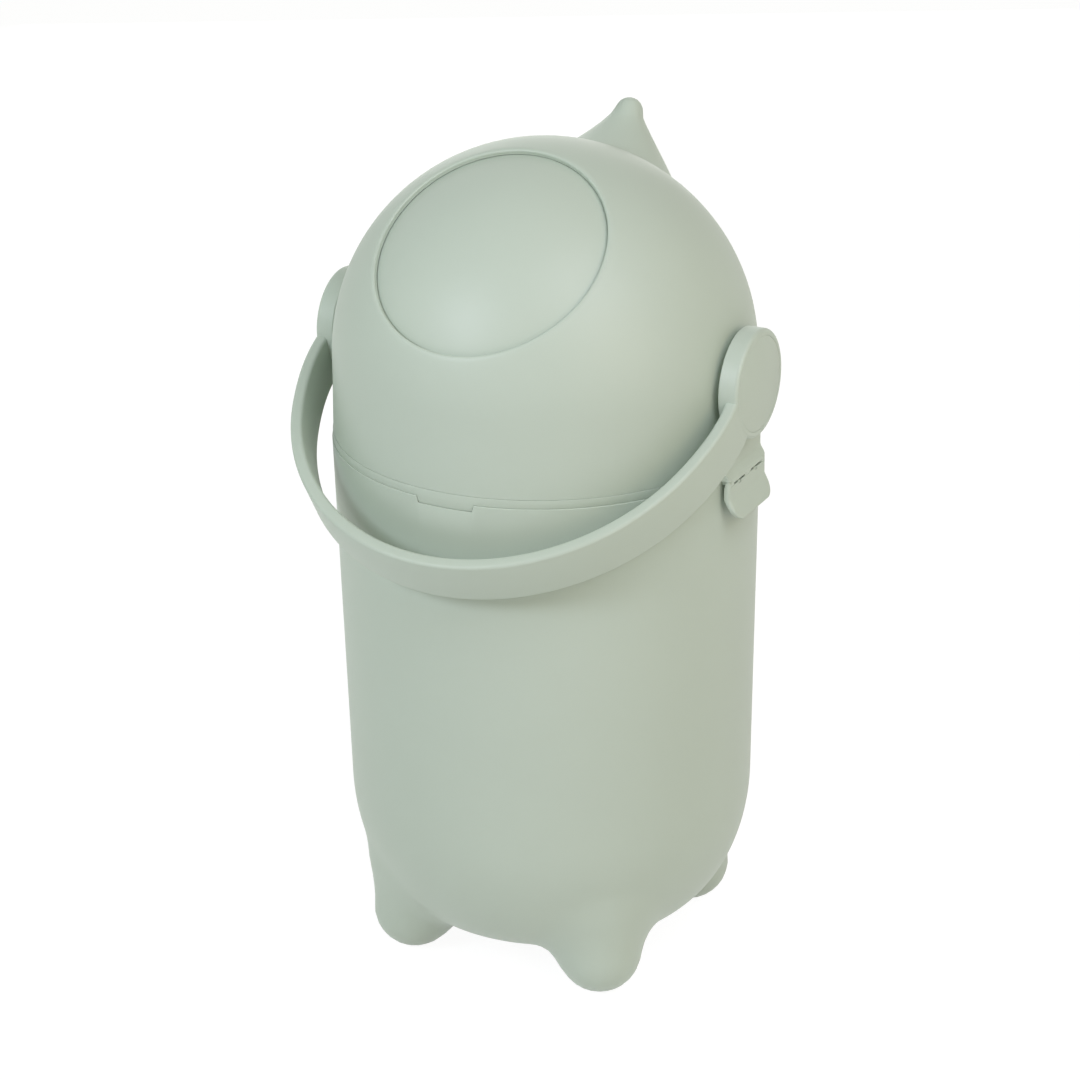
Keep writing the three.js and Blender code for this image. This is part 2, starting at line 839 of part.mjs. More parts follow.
function hubPoint(radius, turn) {
  return [radius * Math.cos(turn), radius * Math.sin(turn)];
}

// A short post along X, placed at a turn about the hub's axis
function crosswise(radius, low, high, place, turn, sides) {
  const geometry = new THREE.CylinderGeometry(radius, radius, high - low, sides);
  const [forward, up] = hubPoint(place, turn);
  return geometry.rotateZ(Math.PI / 2).translate((low + high) / 2, -forward, up);
}

// The peg lies behind the axle, so its slot is hidden behind the hub
const pegTurn = Math.PI - handleDroop;

// The flat round pad that each hub turns on, with its stop peg
function domePad(side) {
  const hollowRadius = domeRadius - domeWall / 2;
  const hollow = revolved(arc(0, 0, hollowRadius, hollowRadius,
    -Math.PI / 2, Math.PI / 2, bodySides / 4), bodySides);
  const low = domeInnerRadius - 2 * domeWall;
  const pad = crosswise(padRadius, low, padFace, 0, 0, hubSides);
  const peg = crosswise(pegRadius, domeInnerRadius, padFace + pegHeight, pegPlace, pegTurn, smallSides);
  const [padSolid, pegSolid] = [pad, peg].map((piece) => solidOf(fromCentre(onSide(piece, side))));
  return join(cut(padSolid, solidOf(fromCentre(hollow))), pegSolid);
}

function makeDomeShell() {
  const bosses = atScrews(() => upright(bossRadius, skirtBase, skirtBase + bossHeight, smallSides));
  const pilots = atScrews(() => (
    upright(domeScrewRadius + fitGap, skirtBase - overrun, skirtBase + bossHeight - domeScrewRadius, pinSides)
  ));
  const bushHoles = [1, -1].map((side) => fromCentre(onSide(
    crosswise(bushRadius + fitGap, domeInnerRadius / 2, padFace + overrun, 0, 0, journalSides), side)));
  const groove = sealBand(domeInnerRadius - overrun, domeInnerRadius + sealDepth, sealWidth / 2 + fitGap);
  const padded = join(domeBlank(), domePad(1), domePad(-1), ...bosses.map(solidOf));
  const holes = [...bushHoles, ...pilots].map(solidOf);
  return cut(padded, solidOf(openingCutter()), solidOf(groove), ...holes);
}

function makeOpeningSeal() {
  const low = drumRadius + fitGap;
  return solidOf(sealBand(low, domeInnerRadius + sealDepth - fitGap, sealWidth / 2));
}

function makeDomeScrew(turn) {
  const headTop = bandTop - ringFloor - fitGap;
  const geometry = revolved([
    [0, headTop - domeScrewHeadHeight],
    [domeScrewHeadRadius, headTop - domeScrewHeadHeight],
    [domeScrewHeadRadius, headTop],
    [domeScrewRadius, headTop],
    [domeScrewRadius, skirtBase + domeScrewGrip],
    [0, skirtBase + domeScrewGrip],
  ], pinSides);
  return solidOf(geometry.translate(bossPlace * Math.sin(turn), -bossPlace * Math.cos(turn), 0));
}

// Handle pieces are drawn level, forward along -Y, about the ball's centre
function hubBlank(side) {
  const face = arc(hubRadius - hubEdge, hubFace - hubEdge, hubEdge, hubEdge, 0, Math.PI / 2, 3);
  const profile = [[0, hubBack], [hubRadius, hubBack], ...face, [0, hubFace]];
  return solidOf(onSide(alongX(revolved(profile, hubSides)), side));
}

// Where the bail's middle line runs: an arc that eases out to the hubs' faces
function bailMiddle(share) {
  const middleRadius = bailRadius - bailThickness / 2;
  const rootTurn = Math.asin((bailRoot - bailCentreForward) / middleRadius);
  const turn = THREE.MathUtils.lerp(rootTurn, Math.PI - rootTurn, share);
  const forward = bailCentreForward + middleRadius * Math.sin(turn);
  const ease = 1 - THREE.MathUtils.smoothstep(forward, hubRadius, 2 * hubRadius + bailRoot);
  const x = middleRadius * Math.cos(turn) + Math.sign(Math.cos(turn)) * bailInset * ease;
  return new THREE.Vector3(x, -forward, 0);
}

function roundedSection(width, thickness, radius) {
  const halfAcross = thickness / 2 - radius;
  const halfUp = width / 2 - radius;
  const quarter = Math.PI / 2;
  return [[1, 1, 0], [-1, 1, 1], [-1, -1, 2], [1, -1, 3]].flatMap(([across, up, start]) => (
    arc(across * halfAcross, up * halfUp, radius, radius, start * quarter, (start + 1) * quarter, 2)
  ));
}

function bailStrip() {
  const section = roundedSection(bailWidth, bailThickness, bailEdge);
  const rings = [];
  for (let step = 0; step <= bailSteps; step += 1) {
    const middle = bailMiddle(step / bailSteps);
    const before = bailMiddle(Math.max(step - 1, 0) / bailSteps);
    const after = bailMiddle(Math.min(step + 1, bailSteps) / bailSteps);
    const along = after.sub(before).normalize();
    const outward = new THREE.Vector3(-along.y, along.x, 0).negate();
    rings.push(section.map(([across, up]) => (
      middle.clone().addScaledVector(outward, across).add(new THREE.Vector3(0, 0, up))
    )));
  }
  return solidOf(loft(rings, middleOf(rings[0]), middleOf(rings[rings.length - 1])));
}

// The slot in the hub's back lets the peg travel from handle down to upright
function stopSlot(side) {
  const low = domeInnerRadius;
  const high = padFace + pegHeight + fitGap;
  const room = pegRadius + fitGap;
  const slot = new THREE.Shape();
  const start = Math.PI;
  const end = Math.PI - handleTravel;
  const outline = [
    ...arc(0, 0, pegPlace + room, pegPlace + room, start, end, slotSteps),
    ...arc(
      pegPlace * Math.cos(end), pegPlace * Math.sin(end), room, room, end, end - Math.PI, 6,
    ).slice(1, -1),
    ...arc(0, 0, pegPlace - room, pegPlace - room, end, start, slotSteps),
    ...arc(pegPlace * Math.cos(start), pegPlace * Math.sin(start), room, room,
      start + Math.PI, start, 6).slice(1, -1),
  ];
  outline.forEach(([forward, up], i) => (
    i === 0 ? slot.moveTo(forward, up) : slot.lineTo(forward, up)
  ));
  const geometry = new THREE.ExtrudeGeometry(slot, { depth: high - low, bevelEnabled: false });
  const stand = new THREE.Matrix4().makeBasis(
    new THREE.Vector3(0, -1, 0), new THREE.Vector3(0, 0, 1), new THREE.Vector3(1, 0, 0));
  return solidOf(onSide(geometry.applyMatrix4(stand).translate(low, 0, 0), side));
}

const capBack = hubFace - capThickness;
const screwHeadTop = capBack - fitGap;
const screwHeadBase = screwHeadTop - axleScrewHeadHeight;
const axleEnd = screwHeadBase - fitGap - axleScrewHeadHeight / 2;
const axleStart = drumInnerRadius - drumBossDepth + fitGap;
const journalEnd = axleEnd - axleSocketDepth;

function hubCuts(side) {
  const flangeRadius = bushRadius + bushFlange + fitGap;
  const flangeEnd = padFace + fitGap + bushFlangeThickness + fitGap;
  const square = axleSquare + 2 * fitGap;
  const socketDepth = axleEnd + fitGap - domeInnerRadius;
  const socket = new THREE.BoxGeometry(socketDepth, square, square)
    .translate(domeInnerRadius + socketDepth / 2, 0, 0);
  return [
    crosswise(capRadius + fitGap, capBack - fitGap, hubFace + overrun, 0, 0, hubSides),
    crosswise(axleScrewHeadRadius + fitGap, screwHeadBase - fitGap, hubFace, 0, 0, smallSides),
    crosswise(axleScrewRadius + fitGap, axleEnd - overrun, hubFace, 0, 0, smallSides),
    crosswise(flangeRadius, domeInnerRadius, flangeEnd, 0, 0, journalSides),
    crosswise(journalRadius + fitGap, domeInnerRadius, journalEnd + fitGap, 0, 0, journalSides),
    socket,
  ].map((tool) => solidOf(onSide(tool, side)));
}

function makeHandle() {
  const whole = join(bailStrip(), hubBlank(1), hubBlank(-1));
  return cut(whole, ...hubCuts(1), ...hubCuts(-1), stopSlot(1), stopSlot(-1));
}

function makeHubCap(side) {
  return solidOf(onSide(crosswise(capRadius, capBack, hubFace, 0, 0, hubSides), side));
}

function makeAxle(side) {
  const length = axleEnd - axleStart;
  const bar = new THREE.BoxGeometry(length, axleSquare, axleSquare).translate(axleStart + length / 2, 0, 0);
  const journal = crosswise(journalRadius, drumRadius - drumWall, journalEnd, 0, 0, journalSides);
  const thread = crosswise(
    axleScrewRadius + fitGap, axleStart - overrun, axleEnd + overrun, 0, 0, smallSides,
  );
  const [barSolid, journalSolid, threadSolid] = [bar, journal, thread].map((piece) => (
    solidOf(onSide(piece, side))));
  return cut(join(barSolid, journalSolid), threadSolid);
}

function makeAxleScrew(side) {
  return solidOf(onSide(alongX(revolved([
    [0, screwHeadTop - axleScrewHeadHeight - axleScrewLength],
    [axleScrewRadius, screwHeadTop - axleScrewHeadHeight - axleScrewLength],
    [axleScrewRadius, screwHeadBase],
    [axleScrewHeadRadius, screwHeadBase],
    [axleScrewHeadRadius, screwHeadTop],
    [0, screwHeadTop],
  ], smallSides)), side));
}

function makeAxleBush(side) {
  const flangeBase = padFace + fitGap;
  const bore = journalRadius + fitGap;
  return solidOf(fromCentre(onSide(alongX(closedRevolved([
    [bore, drumRadius + fitGap],
    [bushRadius, drumRadius + fitGap],
    [bushRadius, flangeBase],
    [bushRadius + bushFlange, flangeBase],
    [bushRadius + bushFlange, flangeBase + bushFlangeThickness],
    [bore, flangeBase + bushFlangeThickness],
  ], journalSides)), side)));
}

// Ball halves, drawn round the mouth's axis and then turned with the handle
function ballPoint(radius, angle) {
  return [radius * Math.sin(angle), radius * Math.cos(angle)];
}

function ballArc(radius, from, to, steps) {
  const points = [];
  for (let i = 0; i <= steps; i += 1) {
    points.push(ballPoint(radius, THREE.MathUtils.lerp(from, to, i / steps)));
  }
  return points;
}

const mouthAngle = Math.asin(mouthRadius / drumRadius);
const splitGap = fitGap / drumRadius;
const lapAngle = drumLapWidth / drumRadius;
const lapRadius = drumInnerRadius + drumWall / 2;

function makeDrumCup() {
  const lapFit = fitGap / 2;
  const profile = [
    ...ballArc(drumRadius, mouthAngle, drumSplit, cupRows),
    ballPoint(lapRadius - lapFit, drumSplit),
    ballPoint(lapRadius - lapFit, drumSplit + lapAngle),
    ...ballArc(drumInnerRadius, drumSplit + lapAngle, mouthAngle, cupRows),
  ];
  return solidOf(towards(closedRevolved(profile, ballSides), mouthElevation));
}

function makeDrumBack() {
  const lapFit = fitGap / 2;
  const outerStart = drumSplit + splitGap;
  const innerStart = drumSplit + lapAngle + splitGap;
  const profile = [
    ...ballArc(drumRadius, Math.PI, outerStart, drumRows),
    ballPoint(lapRadius + lapFit, outerStart),
    ballPoint(lapRadius + lapFit, innerStart),
    ...ballArc(drumInnerRadius, innerStart, Math.PI, drumRows),
  ];
  const shell = solidOf(towards(revolved(profile, ballSides), mouthElevation));
  const bosses = [1, -1].map((side) => solidOf(onSide(crosswise(drumBossRadius,
    drumInnerRadius - drumBossDepth, drumInnerRadius + drumWall / 2, 0, 0, journalSides), side)));
  const square = axleSquare + 2 * fitGap;
  const sockets = [1, -1].flatMap((side) => [
    solidOf(onSide(new THREE.BoxGeometry(2 * drumBossDepth, square, square)
      .translate(drumInnerRadius, 0, 0), side)),
    solidOf(onSide(crosswise(journalRadius + fitGap, drumInnerRadius - fitGap, drumRadius + overrun,
      0, 0, journalSides), side)),
  ]);
  return cut(join(shell, ...bosses), ...sockets);
}

// A layer of the clip's tongue between two depths behind its face, which is
// upright above the bend and flares below it
function tongueLayer(near, far) {
  const foot = clipPinZ - clipLength;
  const bend = clipPinZ - clipBend;
  return solidOf(prism([
    [clipFaceX - far, clipPinZ],
    [clipFaceX - far, bend],
    [clipFaceX - far + clipFlare, foot],
    [clipFaceX - near + clipFlare, foot],
    [clipFaceX - near, bend],
    [clipFaceX - near, clipPinZ],
  ], -clipHalfWidth, clipHalfWidth));
}

// The tongue's outline with its round lower corners, drawn in by an inset
function tongueOutline(inset, top) {
  const half = clipHalfWidth - inset;
  const foot = clipPinZ - clipLength + inset;
  const corner = clipCorner - inset;
  const face = new THREE.Shape();
  face.moveTo(-half, top);
  face.lineTo(-half, foot + corner);
  face.absarc(-half + corner, foot + corner, corner, Math.PI, 1.5 * Math.PI, false);
  face.absarc(half - corner, foot + corner, corner, 1.5 * Math.PI, 2 * Math.PI, false);
  face.lineTo(half, top);
  const stand = new THREE.Matrix4().makeBasis(
    new THREE.Vector3(0, 1, 0), new THREE.Vector3(0, 0, 1), new THREE.Vector3(1, 0, 0));
  const block = new THREE.ExtrudeGeometry(face,
    { depth: rimRadius, bevelEnabled: false, curveSegments: 5 }).applyMatrix4(stand);
  return solidOf(block.translate(rimRadius / 2, 0, 0));
}

// Clip: a hinged tongue with a rim behind its edge, whose hook holds under the
// catch on the bucket. Its round top turns on the pin
function makeClip() {
  const plateBack = clipFaceX - clipPlate;
  const hookTip = bucketRadiusAt(hookTop) + catchReach - hookReach / 2;
  const tongue = tongueLayer(0, clipDepth).intersect(tongueOutline(0, clipPinZ));
  const hollow = tongueLayer(clipPlate, clipDepth + overrun).intersect(
    tongueOutline(clipRim, clipPinZ - clipBarrelRadius));
  const head = solidOf(barrel(
    clipBarrelRadius, -clipHalfWidth, clipHalfWidth, clipPinX, clipPinZ, 2 * smallSides));
  const earRoom = inPairs((low, high) => solidOf(prism([
    [clipPinX - clipDepth, clipPinZ - clipBarrelRadius - fitGap],
    [clipFaceX + overrun, clipPinZ - clipBarrelRadius - fitGap],
    [clipFaceX + overrun, clipPinZ + clipDepth],
    [clipPinX - clipDepth, clipPinZ + clipDepth],
  ], low, high)), earPlace - earWidth / 2 - fitGap, earPlace + earWidth / 2 + fitGap);
  const hook = solidOf(prism([
    [plateBack + clipPlate / 2, hookTop],
    [hookTip, hookTop],
    [hookTip, hookTop - hookHeight],
    [plateBack + clipPlate, hookTop - 2 * hookHeight],
  ], -hookHalfWidth, hookHalfWidth));
  const bore = clipPinHalf + fitGap;
  const pinHole = solidOf(barrel(clipPinRadius + fitGap, -bore, bore, clipPinX, clipPinZ, pinSides));
  return cut(join(cut(tongue, hollow), head, hook), ...earRoom, pinHole);
}

function makeClipPin() {
  return solidOf(barrel(
    clipPinRadius, -clipPinHalf, clipPinHalf, clipPinX, clipPinZ, pinSides));
}

function makeHingePin() {
  const half = hingeOuterHalf - fitGap;
  return solidOf(barrel(hingePinRadius, -half, half, hingePinX, hingePinZ, pinSides));
}

// The bin as it stands in use, lid closed and handle down at the front
const bin = new THREE.Group();
bin.position.y = centreForwardShift;

bin.add(
  meshOf('bucket', makeBucket(), plastic(sage)),
  meshOf('bag_ring', makeBagRing(), plastic(sageLight)),
  meshOf('hinge_pin', makeHingePin(), steel()),
);

const lid = new THREE.Group();
lid.add(
  meshOf('lid_ring', makeLidRing(), plastic(sage)),
  meshOf('lid_gasket', makeLidGasket(), rubber()),
  meshOf('dome_shell', makeDomeShell(), plastic(sage)),
  meshOf('opening_seal', makeOpeningSeal(), rubber()),
  meshOf('axle_bush_right', makeAxleBush(1), plastic(sageLight)),
  meshOf('axle_bush_left', makeAxleBush(-1), plastic(sageLight)),
  meshOf('clip_pin', makeClipPin(), steel()),
  meshOf('clip', makeClip(), plastic(sage)),
);
screwTurns.forEach((turn, i) => {
  lid.add(meshOf(`dome_screw_${i + 1}`, makeDomeScrew(turn), steel()));
});
bin.add(lid);

const turningPieces = new THREE.Group();
turningPieces.position.z = centreHeight;
turningPieces.rotation.x = handleDroop;
turningPieces.add(
  meshOf('handle', makeHandle(), plastic(sage)),
  meshOf('drum_cup', makeDrumCup(), plastic(sage)),
  meshOf('drum_back', makeDrumBack(), plastic(sage)),
);
[[1, 'right'], [-1, 'left']].forEach(([side, word]) => {
  turningPieces.add(
    meshOf(`hub_cap_${word}`, makeHubCap(side), plastic(sage)),
    meshOf(`axle_${word}`, makeAxle(side), plastic(sageLight)),
    meshOf(`axle_screw_${word}`, makeAxleScrew(side), steel()),
  );
});
lid.add(turningPieces);

export default bin;
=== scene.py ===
"""Nappy bin with a domed lid, a horn, and a handle that turns a ball inside it.

The file is laid out as an add-on and run as a script. Each operator models one
piece, or a few like pieces, round the upright axis of the bin or the centre of
the ball, and then moves the mesh there. Metres, +Z up, front towards -Y.
"""
import json
from math import asin, copysign, cos, hypot, pi, radians, sin, sqrt

import bmesh
import bpy
from mathutils import Matrix, Vector


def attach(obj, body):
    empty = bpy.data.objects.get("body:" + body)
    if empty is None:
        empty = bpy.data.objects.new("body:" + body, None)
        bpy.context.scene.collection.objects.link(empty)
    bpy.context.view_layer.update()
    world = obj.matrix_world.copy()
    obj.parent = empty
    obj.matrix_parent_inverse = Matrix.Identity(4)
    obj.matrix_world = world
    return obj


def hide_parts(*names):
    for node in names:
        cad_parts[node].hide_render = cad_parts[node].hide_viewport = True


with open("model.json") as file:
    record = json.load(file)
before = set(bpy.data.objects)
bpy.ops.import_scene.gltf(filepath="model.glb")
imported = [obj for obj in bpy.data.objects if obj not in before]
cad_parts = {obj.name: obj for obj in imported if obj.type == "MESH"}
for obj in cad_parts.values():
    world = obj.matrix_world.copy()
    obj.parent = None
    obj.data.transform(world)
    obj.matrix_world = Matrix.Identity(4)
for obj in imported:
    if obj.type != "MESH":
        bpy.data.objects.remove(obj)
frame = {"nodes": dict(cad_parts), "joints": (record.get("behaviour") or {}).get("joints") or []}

bl_info = {
    "name": "Nappy bin",
    "version": (1, 0, 0),
    "blender": (4, 5, 0),
    "location": "View3D > Sidebar > Nappy bin",
    "description": "Models a nappy bin with a turning ball lid and its plain studio",
    "category": "Object",
}

QUARTER = pi / 2
# Steps of a full turn: bucket and dome, ball, hubs, bores, and pins and pegs
ROUND_STEPS = 144
BALL_STEPS = 120
HUB_STEPS = 128
BORE_STEPS = 48
PIN_STEPS = 24
# Points closer together than SAME are one, and faces thinner than HAIR are dropped.
# NEAR is the play when points are picked by place. SUNK keeps faces out of one plane.
SAME = 1e-6
HAIR = 2e-6
NEAR = 1e-5
SUNK = 2e-5
# Sizes that two or more pieces share
SMALL_EDGE = 0.0003
WALL_TAPER = 0.018
LEDGE_DROP = 0.026
TAB_SLANT = 0.0016
CATCH_DROP = 0.0123
HOOK_DROP = 0.0126
CATCH_HALF = 0.010
LUG_WIDTH = 0.0022
LUG_REACH = 0.0049
CLIP_INSIDE = 0.13
PEG_REACH = 0.023
SLOT_HALF = 0.0033
JOURNAL_BORE = 0.0083

# The joints, with the pins as seen from the bin's upright axis
JOINTS = {joint["name"]: joint for joint in frame["joints"]}
BALL_CENTRE = Vector(JOINTS["handle_turn"]["pos_m"])
AXIS_PLACE = Vector((0, BALL_CENTRE.y, 0))
CLIP_PIN = Vector(JOINTS["clip_swing"]["pos_m"]) - AXIS_PLACE
HINGE_PIN = Vector(JOINTS["lid_hinge"]["pos_m"]) - AXIS_PLACE
TO_AXIS = Matrix.Translation(AXIS_PLACE)
TO_BALL = Matrix.Translation(BALL_CENTRE)
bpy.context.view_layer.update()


def length(name, description, default):
    """One length that a user may change."""
    return bpy.props.FloatProperty(
        name=name, description=description, default=default, unit="LENGTH", precision=4)


def angle(name, description, degrees):
    """One angle that a user may change."""
    return bpy.props.FloatProperty(
        name=name, description=description, default=radians(degrees), unit="ROTATION")


def colour(name, description, default):
    """One colour that a user may change."""
    return bpy.props.FloatVectorProperty(
        name=name, description=description, default=default, size=3, subtype="COLOR",
        min=0, max=1)


class NappyBinSizes(bpy.types.PropertyGroup):
    """Sizes of the bin's pieces"""

    fit_gap: length("Fit gap", "Gap between pieces that touch or slide", 0.0003)
    rim_radius: length("Rim radius", "Outside of the bucket at its rim", 0.142)
    rim_height: length("Rim height", "Height of the bucket's rim above the floor", 0.370)
    bucket_wall: length("Bucket wall", "Thickness of the bucket's wall", 0.0026)
    belly_height: length("Belly height", "Height of the belly above the floor", 0.026)
    corner_reach: length("Corner reach", "Width of the belly's rounded corner", 0.060)
    corner_rise: length("Corner rise", "Height of the belly's rounded corner", 0.096)
    foot_radius: length("Foot radius", "Radius of each foot's round end", 0.0282)
    foot_sunk: length("Foot flat", "How much of the foot's ball the floor cuts off", 0.0008)
    foot_inset: length("Foot inset", "Foot's middle to the rim, seen from above", 0.0408)
    thigh_radius: length("Thigh radius", "Radius of the foot's upper end", 0.033)
    thigh_inset: length("Thigh inset", "Thigh's middle to the rim, seen from above", 0.0465)
    thigh_height: length("Thigh height", "Height of the thigh's middle", 0.057)
    foot_blend: length("Foot blend", "How softly the feet run into the belly", 0.017)
    band_height: length("Band height", "Height of the lid ring's band", 0.0054)
    band_proud: length("Band proud", "Band's outside to the bucket's rim", -0.0006)
    tab_width: length("Tab width", "Width of the front tab", 0.041)
    tab_drop: length("Tab drop", "How far the front tab hangs below the band", 0.0044)
    dome_radius: length("Dome radius", "Outside of the dome", 0.140)
    dome_wall: length("Dome wall", "Thickness of the dome's wall", 0.003)
    horn_height: length("Horn height", "Tip of the horn above the dome's sphere", 0.0512)
    horn_tip_radius: length("Horn tip radius", "Radius of the horn's round tip", 0.0094)
    horn_root_radius: length("Horn root radius", "Radius of the horn at its root", 0.052)
    horn_blend: length("Horn blend", "How softly the horn runs into the dome", 0.006)
    opening_radius: length("Opening radius", "Radius of the round opening", 0.0771)
    opening_edge: length("Opening edge", "Width of the opening's soft edge", 0.005)
    opening_tilt: angle("Opening tilt", "How high the opening faces", 50.7)
    ball_radius: length("Ball radius", "Outside of the turning ball", 0.1358)
    ball_wall: length("Ball wall", "Thickness of the turning ball", 0.0025)
    handle_droop: angle("Handle droop", "How far the handle hangs below level", 31.3)
    hub_radius: length("Hub radius", "Radius of the handle's round ends", 0.0358)
    hub_face: length("Hub face", "Hub's outer face to the bin's middle", 0.1544)
    hub_edge: length("Hub edge", "Rounding of the hub's edge", 0.0028)
    strip_width: length("Strip width", "Width of the handle's strip", 0.0342)
    strip_thickness: length("Strip thickness", "Thickness of the handle's strip", 0.0085)
    strip_edge: length("Strip edge", "Rounding of the strip's edges", 0.0024)
    strip_forward: length("Strip forward", "Middle of the strip's arc before the hubs", 0.0402)
    pad_radius: length("Pad radius", "Radius of the dome's pad behind each hub", 0.027)
    cap_radius: length("Cap radius", "Radius of the cap in each hub", 0.0312)
    clip_length: length("Clip length", "Clip's tongue from its pin to its lower edge", 0.0219)
    clip_half_width: length("Clip half width", "Half the width of the clip's tongue", 0.0285)
    clip_depth: length("Clip depth", "Clip's face to the back of its rim", 0.004)
    clip_plate: length("Clip plate", "Thickness of the clip's face", 0.0023)
    clip_bend: length("Clip bend", "Clip's pin to the bend below it", 0.0075)
    clip_flare: length("Clip flare", "How far the clip's lower edge stands out", 0.0074)
    clip_corner: length("Clip corner", "Radius of the clip's lower corners", 0.0102)
    clip_edge: length("Clip edge", "Rounding of the clip's edges", 0.0024)
    ear_place: length("Ear place", "Middle of each bracket ear to the clip's middle", 0.0125)


class NappyBinFinish(bpy.types.PropertyGroup):
    """Colours of the bin and its studio"""

    sage: colour("Sage plastic", "Colour of the moulded outside", (0.50, 0.565, 0.48))
    pale: colour("Pale plastic", "Colour of the inner fittings", (0.52, 0.58, 0.53))
    seal: colour("Seal", "Colour of the soft seals", (0.24, 0.29, 0.25))
    steel: colour("Steel", "Colour of the pins and screws", (0.55, 0.55, 0.56))
    floor: colour("Floor", "Colour of the studio floor", (0.86, 0.86, 0.86))


def sizes():
    """The sizes that the pieces are made from."""
    return bpy.context.scene.nappy_bin_sizes


def finish():
    """The colours that the materials are made from."""
    return bpy.context.scene.nappy_bin_finish


# Material nodes


def fill(node, inputs):
    """Sets a node's inputs. Each is a value, or a socket to link."""
    for name, value in inputs.items():
        if isinstance(value, bpy.types.NodeSocket):
            node.id_data.links.new(value, node.inputs[name])
        else:
            node.inputs[name].default_value = value
    return node


def add_node(tree, kind, inputs, **settings):
    """A new node with its settings, and then its inputs."""
    node = tree.nodes.new(kind)
    for name, value in settings.items():
        setattr(node, name, value)
    return fill(node, inputs)


def maths(tree, operation, *values):
    """The result of a maths node for values that are numbers or sockets."""
    node = add_node(tree, "ShaderNodeMath", dict(enumerate(values)), operation=operation)
    return node.outputs["Value"]


def moulded_grain():
    """A group with the fine grain and the slow shade changes of moulded plastic."""
    name = "Moulded grain"
    if name in bpy.data.node_groups:
        return bpy.data.node_groups[name]
    tree = bpy.data.node_groups.new(name, "ShaderNodeTree")
    for label, kind, default in (
            ("Colour", "NodeSocketColor", (0.5, 0.5, 0.5, 1)),
            ("Shade change", "NodeSocketFloat", 0.02),
            ("Grain scale", "NodeSocketFloat", 1400.0),
            ("Roughness", "NodeSocketFloat", 0.45),
            ("Roughness change", "NodeSocketFloat", 0.06)):
        socket = tree.interface.new_socket(name=label, in_out="INPUT", socket_type=kind)
        socket.default_value = default
    for label, kind in (
            ("Colour", "NodeSocketColor"), ("Roughness", "NodeSocketFloat"),
            ("Height", "NodeSocketFloat")):
        tree.interface.new_socket(name=label, in_out="OUTPUT", socket_type=kind)
    given = tree.nodes.new("NodeGroupInput").outputs
    place = tree.nodes.new("ShaderNodeTexCoord").outputs["Object"]
    slow = add_node(tree, "ShaderNodeTexNoise", {"Vector": place, "Scale": 9.0, "Detail": 2.0})
    fine = add_node(tree, "ShaderNodeTexNoise", {
        "Vector": place, "Scale": given["Grain scale"], "Detail": 3.0, "Roughness": 0.6})
    shade = add_node(tree, "ShaderNodeMapRange", {
        "Value": slow.outputs["Fac"], "From Min": 0.3, "From Max": 0.7,
        "To Min": maths(tree, "SUBTRACT", 1.0, given["Shade change"]), "To Max": 1.0})
    tinted = add_node(
        tree, "ShaderNodeVectorMath",
        {0: given["Colour"], "Scale": shade.outputs["Result"]}, operation="SCALE")
    swing = maths(tree, "SUBTRACT", fine.outputs["Fac"], 0.5)
    rough = maths(tree, "MULTIPLY_ADD", swing, given["Roughness change"], given["Roughness"])
    add_node(tree, "NodeGroupOutput", {
        "Colour": tinted.outputs["Vector"], "Roughness": rough, "Height": fine.outputs["Fac"]})
    return tree


def moulded(name, tint, roughness, grain_scale, grain_depth, shade_change=0.02, metallic=0.0):
    """A moulded or turned finish whose detail comes from the grain group."""
    if name in bpy.data.materials:
        return bpy.data.materials[name]
    material = bpy.data.materials.new(name)
    material.use_nodes = True
    tree = material.node_tree
    grain = add_node(tree, "ShaderNodeGroup", {
        "Colour": (*tint, 1), "Shade change": shade_change, "Grain scale": grain_scale,
        "Roughness": roughness}, node_tree=moulded_grain())
    bump = add_node(tree, "ShaderNodeBump", {
        "Strength": 0.5, "Distance": grain_depth, "Height": grain.outputs["Height"]})
    fill(tree.nodes["Principled BSDF"], {
        "Metallic": metallic, "IOR": 1.47, "Base Color": grain.outputs["Colour"],
        "Roughness": grain.outputs["Roughness"], "Normal": bump.outputs["Normal"]})
    return material


def finish_of(slot):
    """The material of a slot: satin and slightly lighter plastic, matt rubber, plain steel."""
    look = finish()
    # Name, colour, roughness, grain's scale and depth, shade change, metallic
    looks = {
        "sage_plastic": ("Sage plastic", look.sage, 0.46, 1500.0, 0.00003),
        "pale_plastic": ("Pale plastic", look.pale, 0.4, 1500.0, 0.00002),
        "seal_rubber": ("Seal rubber", look.seal, 0.75, 2200.0, 0.00005, 0.05),
        "steel": ("Turned steel", look.steel, 0.32, 3000.0, 0.00001, 0.04, 1.0),
    }
    return moulded(*looks[slot])


# Shapes


def whole_of(mesh):
    """All the corners, edges and faces of a mesh."""
    return [*mesh.verts, *mesh.edges, *mesh.faces]


def verts_of(items):
    """The corners among mixed items of a mesh."""
    return [item for item in items if isinstance(item, bmesh.types.BMVert)]


def sheet(points):
    """A new mesh with one face in it."""
    mesh = bmesh.new()
    mesh.faces.new([mesh.verts.new(point) for point in points])
    return mesh


def thickened(mesh, shift):
    """The flat mesh, drawn out to a closed block."""
    grown = bmesh.ops.extrude_face_region(mesh, geom=mesh.faces[:])["geom"]
    bmesh.ops.translate(mesh, verts=verts_of(grown), vec=shift)
    bmesh.ops.recalc_face_normals(mesh, faces=mesh.faces)
    return mesh


def slab(outline, low, high):
    """A closed block: an outline of (x, z) pairs that runs along Y."""
    return thickened(sheet((x, low, z) for x, z in outline), (0, high - low, 0))


def box(left, right, low, high):
    """The corners of an upright rectangle."""
    return [(left, low), (right, low), (right, high), (left, high)]


def both(near, far):
    """One span along Y behind the middle, and its like in front of it."""
    return (near, far), (-far, -near)


